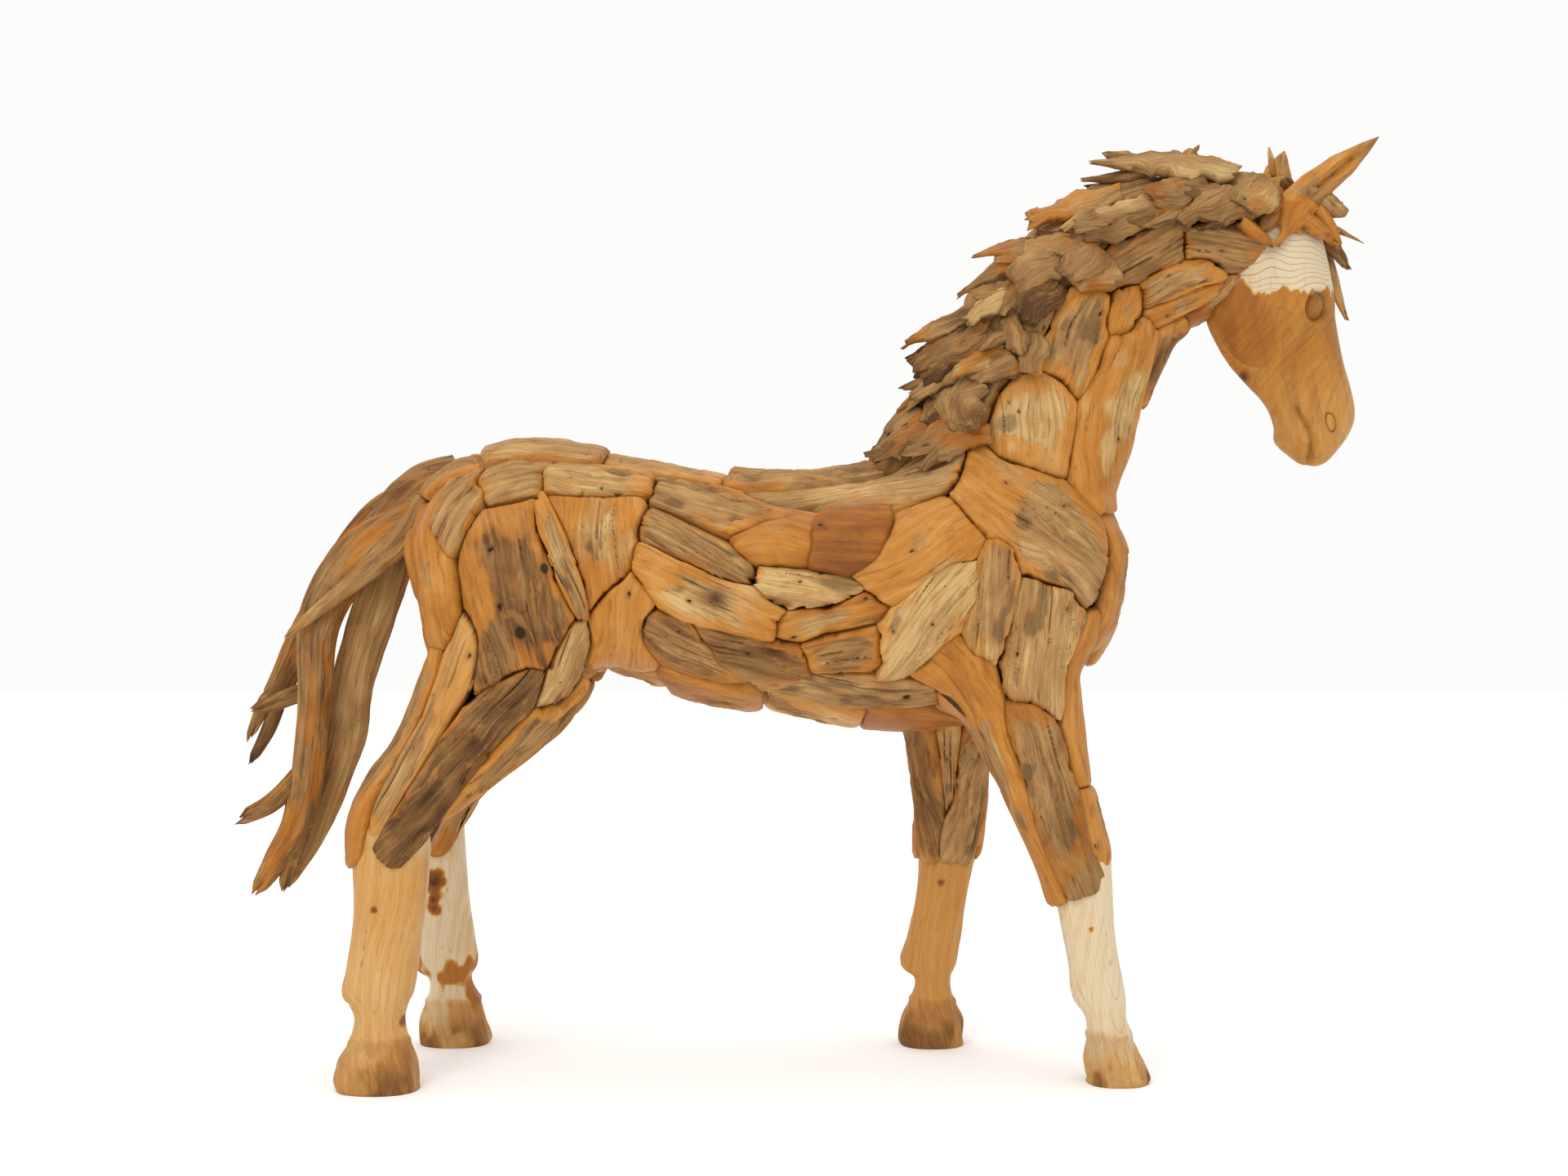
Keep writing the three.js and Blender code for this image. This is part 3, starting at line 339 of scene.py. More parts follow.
rightSlabs = [
    ("loin_slab", "right", (-0.151, 0, 1.063, 0.29, 0.096, -27, 0, 0.45, 0.55, 0.6, -0.35)),
    ("rib_block", "right", (-0.062, 0, 1.011, 0.14, 0.108, -3, 0, 0.38, 0.5, 0.15, 0)),
    ("saddle_plank", "right", (0.096, 0, 1.097, 0.36, 0.074, 7, -0.2, 0.55, 0.68, 0.9, 0)),
    ("oval_rib", "right", (0.068, 0, 0.998, 0.142, 0.1, 2, 0, 0.15, 0.3, 0, 0)),
    ("heart_side_slab", "right", (0.198, 0, 0.985, 0.25, 0.128, 35, -0.25, 0.5, 0.5, 0.15, 0),
     (0.03, 0, 0.863, 0.2, 0.072, 16, 0, 0.45, 0.6, 0.2, 0)),
    ("pale_rib", "right", (-0.01, 0, 0.913, 0.212, 0.08, -11, 0, 0.6, 0.82, 0.95, 0)),
    ("grey_rib", "right", (-0.206, 0, 0.984, 0.25, 0.082, -33, 0, 0.5, 0.52, 0.95, 0)),
    ("knot_rib", "right", (-0.196, 0, 0.911, 0.29, 0.098, -22, 0, 0.56, 0.78, 0.6, -0.1)),
    ("low_flank_slab", "right", (-0.246, 0, 0.813, 0.22, 0.088, -33, 0, 0.4, 0.45, 0.8, 0)),
    ("violet_rib", "right", (-0.109, 0, 0.791, 0.205, 0.092, -14, 0, 0.45, 0.35, 0.75, 0)),
    ("eye_rib", "right", (0.061, 0, 0.797, 0.155, 0.088, 8, 0, 0.5, 0.5, 0.6, 0)),
    ("pale_girth_slab", "right", (0.216, 0, 0.869, 0.255, 0.105, 51, 0, 0.66, 0.85, 0.75, 0)),
    ("belly_slab", "right", (0.115, 0, 0.721, 0.3, 0.082, -4, 0, 0.6, 0.6, 0.8, 0)),
    ("thigh_slab", "right", (-0.546, -0.12, 0.919, 0.345, 0.184, -77, 0, 0.5, 0.28, 0.55, 0.2)),
    ("buttock_slab", "right", (-0.702, -0.11, 0.941, 0.25, 0.096, -78, 0, 0.45, 0.4, 0.2, 0)),
    ("buttock_slab", "back", (-0.64, -0.11, 0.875, 0.23, 0.13, -84, 0, 0.45, 0.4, 0.3, 0)),
    ("croup_side_slabs", "right", (-0.655, -0.06, 1.057, 0.155, 0.084, 66, 0, 0.5, 0.6, 0.8, 0),
     (-0.556, 0, 1.115, 0.15, 0.09, 28, 0, 0.5, 0.6, 0.8, 0)),
    ("croup_plank", "right", (-0.404, 0, 1.115, 0.212, 0.076, 2, 0, 0.5, 0.66, 0.7, 0)),
    ("hip_slab", "right", (-0.392, -0.02, 0.995, 0.226, 0.148, -84, 0.35, 0.45, 0.7, 0.35, -0.2),
     (-0.457, -0.02, 0.977, 0.21, 0.052, -67, 0, 0.5, 0.6, 0.7, 0)),
    ("stifle_slab", "right", (-0.352, -0.08, 0.837, 0.25, 0.11, 78, 0, 0.55, 0.5, 0, 0)),
    ("rough_stifle_slab", "right", (-0.45, -0.12, 0.751, 0.2, 0.088, 65, 0, 0.6, 0.75, 0.9, 0)),
    ("dark_gaskin_slab", "right", (-0.612, -0.14, 0.63, 0.39, 0.09, 49, 0, 0.36, 0.2, 0.9, 0)),
    ("honey_gaskin_strip", "right", (-0.704, -0.145, 0.675, 0.392, 0.066, 62, 0, 0.66, 0.62, 0.55, 0)),
    ("rear_gaskin_strips", "rightBack", (-0.752, -0.15, 0.635, 0.35, 0.12, 60, 0, 0.45, 0.45, 0.6, 0)),
    ("rear_gaskin_strips", "left", (-0.655, -0.145, 0.635, 0.38, 0.19, 52, 0, 0.4, 0.4, 0.3, 0)),
    ("front_gaskin_strip", "rightFront", (-0.585, -0.14, 0.62, 0.37, 0.096, 43, -0.2, 0.5, 0.45, 0.7, 0)),
    ("shoulder_slab", "right", (0.4, -0.06, 1.055, 0.292, 0.182, -38, 0, 0.52, 0.66, 0.5, 0.5)),
    ("rear_shoulder_strip", "right", (0.328, -0.06, 0.903, 0.215, 0.074, 82, 0, 0.5, 0.55, 0.85, 0)),
    ("rough_shoulder_slab", "right", (0.414, -0.11, 0.803, 0.245, 0.124, 83, 0, 0.6, 0.7, 0.9, 0)),
    ("chest_slabs", "rightFront", (0.535, -0.06, 0.92, 0.255, 0.11, 80, 0, 0.45, 0.55, 0.4, 0)),
    ("rear_arm_strips", "rightBack", (0.372, -0.14, 0.607, 0.43, 0.12, -69, 0.15, 0.45, 0.5, 0.4, 0)),
    ("rear_arm_strips", "left", (0.425, -0.135, 0.625, 0.4, 0.18, -74, 0, 0.45, 0.5, 0.2, 0)),
    ("middle_arm_slab", "right", (0.425, -0.14, 0.57, 0.33, 0.096, -71, 0, 0.4, 0.5, 0.8, 0)),
    ("front_arm_strips", "rightFront", (0.484, -0.14, 0.653, 0.32, 0.09, -82, 0, 0.5, 0.5, 0.3, 0),
     (0.514, -0.146, 0.5, 0.15, 0.09, -84, 0, 0.5, 0.5, 0.3, 0)),
    ("neck_base_slab", "right", (0.402, 0, 1.228, 0.18, 0.146, -87, 0, 0.52, 0.85, 0.38, -0.3)),
    ("throat_slab", "right", (0.585, 0, 1.251, 0.335, 0.128, 75, 0.1, 0.5, 0.95, 0.42, 0.1)),
    ("neck_middle_slab", "right", (0.503, 0, 1.398, 0.184, 0.118, 70, 0, 0.5, 0.6, 0.5, 0),
     (0.591, 0, 1.441, 0.115, 0.074, 68, 0, 0.45, 0.5, 0.5, 0)),
    ("crest_grey_slab", "right", (0.622, 0, 1.545, 0.205, 0.094, 29, 0, 0.4, 0.45, 0.9, 0)),
    ("poll_slab", "right", (0.765, 0, 1.563, 0.15, 0.074, -10, 0, 0.5, 0.6, 0.9, 0)),
    ("throat_latch_slabs", "right", (0.696, 0, 1.497, 0.15, 0.062, 23, 0, 0.5, 0.55, 0.7, 0),
     (0.704, 0, 1.455, 0.14, 0.062, 21, 0, 0.5, 0.55, 0.4, 0)),
]
plainSlabs = [  # the middle and the left side, which the photograph hardly shows
    ("back_ridge", "top", (-0.505, 0, 1.085, 0.24, 0.17, 3, 0, 0.45, 0.6, 0.62, 0.2),
     (-0.27, 0, 1.065, 0.26, 0.17, -5, 0, 0.5, 0.6, 0.7, -0.2),
     (-0.02, 0, 1.065, 0.28, 0.18, -2, 0, 0.4, 0.45, 0.75, 0.15)),
    ("back_ridge", "backTop", (-0.63, 0, 1.085, 0.14, 0.17, 35, 0, 0.45, 0.4, 0.6, 0.15)),
    ("back_ridge", "back", (-0.69, 0, 0.995, 0.18, 0.17, 80, 0, 0.55, 0.5, 0.52, -0.15)),
    ("underbelly", "under", (0.19, 0, 0.785, 0.21, 0.21, 0, 0, 0.3, 0.5, 0.4, -0.3),
     (0, 0, 0.785, 0.22, 0.22, -5, 0, 0.65, 0.5, 0.52, -0.15),
     (-0.185, 0, 0.785, 0.21, 0.21, -12, 0, 0.4, 0.5, 0.52, 0.3),
     (-0.33, 0, 0.845, 0.16, 0.18, -22, 0, 0.65, 0.5, 0.28, 0.15),
     (-0.48, 0, 0.885, 0.2, 0.18, -10, 0, 0.45, 0.85, 0.64, 0.15)),
    ("throat_ridge", "front", (0.54, 0, 1.175, 0.28, 0.11, 76, 0, 0.4, 0.45, 0.4, 0)),
    ("throat_ridge", "throat", (0.6, 0, 1.385, 0.24, 0.11, 62, 0, 0.45, 0.3, 0.76, 0),
     (0.7, 0, 1.495, 0.17, 0.11, 28, 0, 0.3, 0.5, 0.76, 0.3)),
    ("chest_slabs", "front", (0.48, 0, 1.025, 0.21, 0.13, 80, 0, 0.45, 0.75, 0.4, 0),
     (0.46, 0, 0.845, 0.2, 0.14, -70, 0, 0.5, 0.75, 0.52, 0)),
    ("right_mane_upper", "top", (0.79, -0.02, 1.625, 0.15, 0.12, 8, 0, 0.4, 0.45, 0.95, 0)),
    ("right_mane_upper", "rightCrest", (0.66, 0, 1.575, 0.17, 0.12, 20, 0, 0.4, 0.45, 0.95, 0),
     (0.54, 0, 1.485, 0.17, 0.13, 42, 0, 0.4, 0.45, 0.95, 0)),
    ("right_mane_lower", "rightCrest", (0.44, 0, 1.355, 0.17, 0.15, 58, 0, 0.4, 0.45, 0.95, 0),
     (0.35, 0, 1.205, 0.18, 0.16, 58, 0, 0.4, 0.45, 0.95, 0)),
    ("right_mane_lower", "withers", (0.24, 0, 1.125, 0.19, 0.17, 35, 0, 0.4, 0.45, 0.95, 0)),
    ("left_mane", "leftCrest", (0.66, 0, 1.575, 0.19, 0.12, 20, 0, 0.4, 0.45, 0.85, 0),
     (0.53, 0, 1.475, 0.19, 0.13, 42, 0, 0.4, 0.45, 0.85, 0),
     (0.44, 0, 1.345, 0.18, 0.15, 58, 0, 0.4, 0.45, 0.85, 0),
     (0.35, 0, 1.205, 0.19, 0.16, 58, 0, 0.4, 0.45, 0.85, 0)),
    ("left_rib_slabs", "left", (-0.15, 0, 1.063, 0.3, 0.112, -25, 0, 0.4, 0.5, 0.76, 0.15),
     (0.096, 0, 1.093, 0.36, 0.092, 7, 0, 0.4, 0.3, 0.52, -0.15),
     (-0.02, 0, 0.99, 0.24, 0.12, 4, 0, 0.45, 0.6, 0.28, -0.3),
     (0.198, 0, 0.985, 0.25, 0.13, 35, 0, 0.45, 0.85, 0.28, 0),
     (-0.215, 0, 0.965, 0.24, 0.11, -30, 0, 0.65, 0.85, 0.52, -0.3)),
    ("left_flank_slabs", "left", (-0.19, 0, 0.875, 0.3, 0.11, -22, 0, 0.45, 0.5, 0.52, -0.15),
     (0.02, 0, 0.885, 0.24, 0.11, -5, 0, 0.65, 0.6, 0.76, 0.3),
     (0.216, 0, 0.855, 0.26, 0.115, 55, 0, 0.3, 0.5, 0.76, -0.15),
     (-0.17, 0, 0.775, 0.28, 0.11, -24, 0, 0.5, 0.5, 0.4, 0),
     (0.08, 0, 0.76, 0.29, 0.12, 2, 0, 0.5, 0.75, 0.4, 0)),
    ("left_haunch_slabs", "left", (-0.545, 0.12, 0.919, 0.345, 0.19, -77, 0, 0.55, 0.3, 0.52, -0.3),
     (-0.605, 0, 1.095, 0.23, 0.11, 45, 0, 0.5, 0.45, 0.52, 0),
     (-0.404, 0, 1.115, 0.23, 0.09, 2, 0, 0.45, 0.75, 0.28, 0),
     (-0.4, 0.02, 0.985, 0.24, 0.15, -84, 0.3, 0.4, 0.6, 0.4, -0.3),
     (-0.37, 0.08, 0.825, 0.26, 0.13, 78, 0, 0.3, 0.3, 0.28, 0.3)),
    ("left_gaskin_strips", "left", (-0.695, 0.11, 0.941, 0.25, 0.1, -78, 0, 0.4, 0.75, 0.82, -0.15)),
    ("left_gaskin_strips", "back", (-0.64, 0.11, 0.875, 0.23, 0.13, -84, 0, 0.55, 0.3, 0.76, 0)),
    ("left_gaskin_strips", "left", (-0.6, 0.14, 0.645, 0.4, 0.12, 50, 0, 0.55, 0.45, 0.52, -0.3)),
    ("left_gaskin_strips", "leftBack", (-0.715, 0.15, 0.635, 0.38, 0.12, 60, 0, 0.3, 0.75, 0.52, 0)),
    ("left_gaskin_strips", "leftFront", (-0.57, 0.15, 0.64, 0.36, 0.11, 45, 0, 0.65, 0.45, 0.64, -0.15)),
    ("left_gaskin_strips", "right", (-0.64, 0.15, 0.625, 0.38, 0.19, 52, 0, 0.4, 0.6, 0.64, 0)),
    ("left_shoulder_slabs", "left", (0.365, 0.06, 1.045, 0.3, 0.182, -48, 0, 0.3, 0.45, 0.64, 0),
     (0.275, 0.06, 0.9, 0.25, 0.1, 80, 0, 0.4, 0.85, 0.64, -0.15),
     (0.35, 0.11, 0.805, 0.25, 0.14, 83, 0, 0.5, 0.45, 0.28, -0.3)),
    ("left_shoulder_slabs", "leftFront", (0.49, 0.06, 0.92, 0.27, 0.15, 80, 0, 0.45, 0.5, 0.4, 0.15)),
    ("left_arm_strips", "leftBack", (0.245, 0.17, 0.59, 0.31, 0.13, -86, 0, 0.4, 0.45, 0.64, 0)),
    ("left_arm_strips", "leftFront", (0.31, 0.165, 0.605, 0.34, 0.15, -82, 0, 0.4, 0.5, 0.28, 0)),
    ("left_arm_strips", "right", (0.228, 0.18, 0.56, 0.27, 0.096, -84, 0, 0.55, 0.3, 0.76, 0),
     (0.275, 0.18, 0.57, 0.28, 0.054, -88, 0, 0.65, 0.85, 0.82, 0.3),
     (0.327, 0.18, 0.55, 0.27, 0.11, 76, 0, 0.3, 0.6, 0.64, -0.3)),
    ("left_neck_slabs", "left", (0.402, 0, 1.228, 0.19, 0.15, -87, 0, 0.5, 0.45, 0.76, -0.15),
     (0.585, 0, 1.251, 0.335, 0.14, 75, 0, 0.45, 0.5, 0.82, 0),
     (0.535, 0, 1.41, 0.21, 0.15, 66, 0, 0.65, 0.5, 0.64, 0.15),
     (0.63, 0, 1.545, 0.22, 0.11, 27, 0, 0.4, 0.85, 0.82, 0),
     (0.715, 0, 1.48, 0.2, 0.12, 20, 0, 0.45, 0.6, 0.64, -0.3),
     (0.775, 0, 1.575, 0.16, 0.09, -12, 0, 0.5, 0.6, 0.8, 0)),
    ("left_mane", "leftCrest", (0.79, 0.02, 1.625, 0.17, 0.12, 8, 0, 0.4, 0.45, 0.95, 0)),
    ("chest_slabs", "breast", (0.42, 0, 0.8, 0.16, 0.24, 37, 0, 0.45, 0.5, 0.5, 0)),
]

facings = {
    "right": (0, -1, 0), "left": (0, 1, 0), "top": (0, 0, 1), "under": (0, 0, -1), "front": (1, 0, 0),
    "back": (-1, 0, 0), "rightFront": (0.7, -0.7, 0), "leftFront": (0.7, 0.7, 0),
    "rightBack": (-0.7, -0.7, 0), "leftBack": (-0.7, 0.7, 0), "backTop": (-0.7, 0, 0.7),
    "withers": (-0.5, 0, 0.85), "throat": (0.85, 0, -0.5),
    "rightCrest": (-0.45, -0.7, 0.55), "leftCrest": (-0.45, 0.7, 0.55), "breast": (0.6, 0, -0.8),
}

# Marks on single slabs, by their place in rightSlabs: kind, along, across, size
slabMarks = {
    8: [("burntKnot", 0.024, 0.0, 0.012)],
    13: [("hole", 0.06, 0.0, 0.007)],
    14: [("hole", 0.084, -0.004, 0.01), ("hole", -0.021, 0.065, 0.008), ("hole", 0.03, -0.03, 0.005)],
    37: [("hole", 0.02, 0.03, 0.006)],
}

slabShape = {
    "lifts": (0.005, 0.012, 0.002, 0.015, 0.008, 0.001, 0.010, 0.004, 0.013),  # they lie like shingles
    "overlap": 0.75,  # the reach over lower neighbours, as a share of the lift over overlapFrom
    "overlapFrom": 0.006,
    "stripsBelow": 0.685,  # slabs whose middle is lower than this are strips on the legs
    # reach is a share of the slab's own half size, and wrap is how far it may turn from its middle's facing
    "slab": {"thickness": 0.036, "reach": 1.6, "wrap": 0.42},
    "strip": {"thickness": 0.024, "reach": 1.4, "wrap": 0.34},
    "outlinePower": 3.4,
    "depthReach": 0.11,
    "castReach": 0.4,
    "castFrom": 0.12,  # how high over the slab the lines to the skin start
    "nodes": 15,  # of the height grid under a slab
    "directions": 256,
    "strides": 64,
    "seam": (0.0006, 0.0034),  # half width, least and most
    "bevelWidth": (0.008, 0.022),
    "bevelDrop": (0.0055, 0.0095),
    "crown": 0.003,
    "chamferFrom": (0.35, 0.85),
    "chamferSlope": (0.004, 0.016),
    "fineStep": 0.00405,
    "plainStep": 0.0078,
    "mostCells": 104,
    # the darkness is painted shade on the walls down into the seams between slabs, darker deeper down
    "wall": ((-0.35, 0.0004, 0.25), (-0.6, -0.0055, 0.7), (-1.0, 0.002, 1.0)),  # depth, tuck, darkness
    "wallWeather": 0.3,
}


def spreadRows(groups):
    return [(node, facing, *row) for node, facing, *rows in groups for row in rows]


def placeSlabs(rows, firstPlain):
    numbers = np.array([row[2:] for row in rows], float)
    outward = unit(np.array([facings[row[1]] for row in rows], float))
    middles = castToSkin(numbers[:, :3], outward, slabShape["castReach"])[0]
    normals = skinNormal(middles)
    tilt = np.radians(numbers[:, 5])
    lengthways = stacked(np.cos(tilt), 0 * tilt, np.sin(tilt))
    lengthways = unit(lengthways - dot(lengthways, normals)[:, None] * normals)
    sideways = np.cross(normals, lengthways)
    slabs = []
    for i, row in enumerate(rows):
        slabs.append({
            "node": row[0], "number": i, "plain": i >= firstPlain, "marks": slabMarks.get(i, []),
            "middle": middles[i], "normal": normals[i], "lengthways": lengthways[i], "sideways": sideways[i],
            "half": numbers[i, 3:5] / 2, "lift": slabShape["lifts"][i % len(slabShape["lifts"])],
            **dict(zip(("narrowing", "sand", "tone", "patch", "shift"), row[8:])),
            **slabShape["strip" if middles[i, 2] < slabShape["stripsBelow"] else "slab"],
        })
    return slabs


def layHeightGrids(slabs):
    # lines dropped onto the skin from a square grid over each slab give the skin's height there
    count, lift = slabShape["nodes"], slabShape["castFrom"]
    steps = np.linspace(-1, 1, count)
    origins, directions = [], []
    for slab in slabs:
        slab["extent"] = slab["half"] * (slab["reach"] + 0.15)
        u, v = np.meshgrid(steps * slab["extent"][0], steps * slab["extent"][1], indexing="ij")
        start = slab["middle"] + lift * slab["normal"]
        origins.append((start + moved(u, slab["lengthways"]) + moved(v, slab["sideways"])).reshape(-1, 3))
        directions.append(np.tile(-slab["normal"], (count * count, 1)))
    starts = np.vstack(origins)
    points, found = castToSkin(starts, np.vstack(directions), 2.4 * lift)
    depth = np.linalg.norm(points - starts, axis=1).reshape(len(slabs), count, count)
    found = found.reshape(len(slabs), count, count)
    for slab, deep, ok in zip(slabs, depth, found):
        height = np.where(ok, lift - deep, np.nan)
        for spread in range(2 * count):  # cells with no skin under them take their neighbours' height
            if not np.isnan(height).any():
                break
            padded = np.pad(height, 1, constant_values=np.nan)
            around = np.stack([padded[:-2, 1:-1], padded[2:, 1:-1], padded[1:-1, :-2], padded[1:-1, 2:]])
            known = ~np.isnan(around)
            mean = np.where(known, around, 0).sum(0) / np.maximum(known.sum(0), 1)
            height = np.where(np.isnan(height) & known.any(0), mean, height)
        slab["height"] = height
        slab["found"] = ok.astype(float)


def cubicWeights(t):
    square, cube = t ** 2, t ** 3
    middle = [2 - 5 * square + 3 * cube, t + 4 * square - 3 * cube]
    return 0.5 * np.stack([-t + 2 * square - cube, *middle, cube - square])


def gridValue(slab, grid, u, v):
    # Catmull-Rom blend of the sixteen grid values round each point
    last = slabShape["nodes"] - 1
    padded = np.pad(slab[grid], 1, mode="edge")
    x = np.clip((u / slab["extent"][0] + 1) / 2 * last, 0, last - 0.001)
    y = np.clip((v / slab["extent"][1] + 1) / 2 * last, 0, last - 0.001)
    i, j = x.astype(int), y.astype(int)
    wx, wy = cubicWeights(x - i), cubicWeights(y - j)
    return sum(wx[a] * wy[b] * padded[i + a, j + b] for a, b in np.ndindex(4, 4))


def skinUnder(slab, u, v):
    # a point of the skin and its normal, from the height grid and its slopes
    step = 0.002
    height = gridValue(slab, "height", u, v)
    slopeU = (gridValue(slab, "height", u + step, v) - gridValue(slab, "height", u - step, v)) / (2 * step)
    slopeV = (gridValue(slab, "height", u, v + step) - gridValue(slab, "height", u, v - step)) / (2 * step)
    along, across, out = slab["lengthways"], slab["sideways"], slab["normal"]
    points = slab["middle"] + moved(u, along) + moved(v, across) + moved(height, out)
    return points, unit(out - moved(slopeU, along) - moved(slopeV, across))


def shareOfSlab(slab, points):
    # how far out a point is, as a share of the slab's half size, by the rule of a superellipse
    q = points - slab["middle"]
    u = q @ slab["lengthways"] / slab["half"][0]
    v = q @ slab["sideways"] / (slab["half"][1] * (1 - slab["narrowing"] * np.clip(u, -1, 1)))
    w = q @ slab["normal"] / slabShape["depthReach"]
    power = slabShape["outlinePower"]
    return (np.abs(u) ** power + np.abs(v) ** power + np.abs(w) ** power) ** (1 / power)


def findOutline(slab, slabs):
    # in each direction, how far the slab reaches before a neighbour is nearer, or its own limit or a turn
    count, strides = slabShape["directions"], slabShape["strides"]
    angle = np.arange(count) / count * 2 * np.pi
    cosine, sine = np.cos(angle), np.sin(angle)
    share = np.linspace(0.04, slab["reach"] * 1.12, strides)
    u = cosine[:, None] * share * slab["half"][0]
    v = sine[:, None] * share * slab["half"][1]
    points, normals = skinUnder(slab, u, v)
    own = shareOfSlab(slab, points)
    margin = np.minimum(slab["reach"] - own, normals @ slab["normal"] - slab["wrap"])
    margin = np.minimum(margin, gridValue(slab, "found", u, v) - 0.6)
    for other in slabs:
        apart = np.linalg.norm(other["middle"] - slab["middle"])
        if other is not slab and apart < 1.5 * (other["half"][0] + slab["half"][0]):
            margin = np.minimum(margin, shareOfSlab(other, points) - own)
    outside = margin < 0
    outside[:, -1] = True
    stop = np.maximum(outside.argmax(1), 1)
    rows = np.arange(count)
    before, after = margin[rows, stop - 1], margin[rows, stop]
    part = np.clip(before / np.maximum(before - after, 1e-9), 0, 1)
    reach = share[stop - 1] + part * (share[stop] - share[stop - 1])
    size = np.hypot(cosine * slab["half"][0], sine * slab["half"][1])

    def ringNoise(scale, step, seed, layers):
        return layeredNoise(stacked(cosine * scale, sine * scale, slab["number"] * step), seed, layers)

    seamLow, seamHigh = slabShape["seam"]
    seam = seamLow + (seamHigh - seamLow) * smoothStep(0.35, 0.9, ringNoise(2.2, 1.7, 11, 1))
    reach = reach - seam / size
    reach = reach + slabShape["overlap"] * max(slab["lift"] - slabShape["overlapFrom"], 0) / size
    for softening in range(2):
        reach = 0.25 * np.roll(reach, 1) + 0.5 * reach + 0.25 * np.roll(reach, -1)
    ragged = (0.0012 + 0.003 * slab["patch"]) * ringNoise(7, 1.3, 17, 3)
    chips = 0.005 * smoothStep(0.6, 0.72, ringNoise(5, 2.9, 23, 2)) * (0.2 + slab["patch"])
    slab["outline"] = np.maximum(reach - (ragged + chips) / size, 0.1)


def roundGrid(count):
    # a square grid laid onto a disc: each square ring becomes a circle
    a, b = np.meshgrid(np.linspace(-1, 1, count), np.linspace(-1, 1, count), indexing="ij")
    wide = np.abs(a) > np.abs(b)
    radius = np.where(wide, a, b)
    safe = np.where(radius == 0, 1, radius)
    angle = np.where(wide, math.pi / 4 * b / safe, math.pi / 2 - math.pi / 4 * a / safe)
    return np.abs(radius), np.where(radius < 0, angle + math.pi, angle) % (2 * math.pi)


def grainFlow(slab, u, v):
    # the grain isn't straight: across it, a point is moved by a slow wave that follows knots and bends
    return v + 0.75 * slab["half"][1] * noiseSwing(stacked(u * 7, v * 9, slab["number"] * 0.83), 31, 2)


def growthRings(slab, u, flow, random):
    # plain-sawn wood shows nested arches: each ring is a long oval round a heart that lies off the slab
    halfLong, halfWide = slab["half"]
    heartU, heartV = random.uniform(-0.8, 0.8) * halfLong, random.uniform(-0.9, 0.9) * halfWide
    far = np.sqrt(((u - heartU) * 0.16) ** 2 + (flow - heartV) ** 2)
    wavy = far + 0.004 * layeredNoise(stacked(u * 16, flow * 30, 0.4), 37, 2)
    return wavy / random.uniform(0.006, 0.011) + 0.5


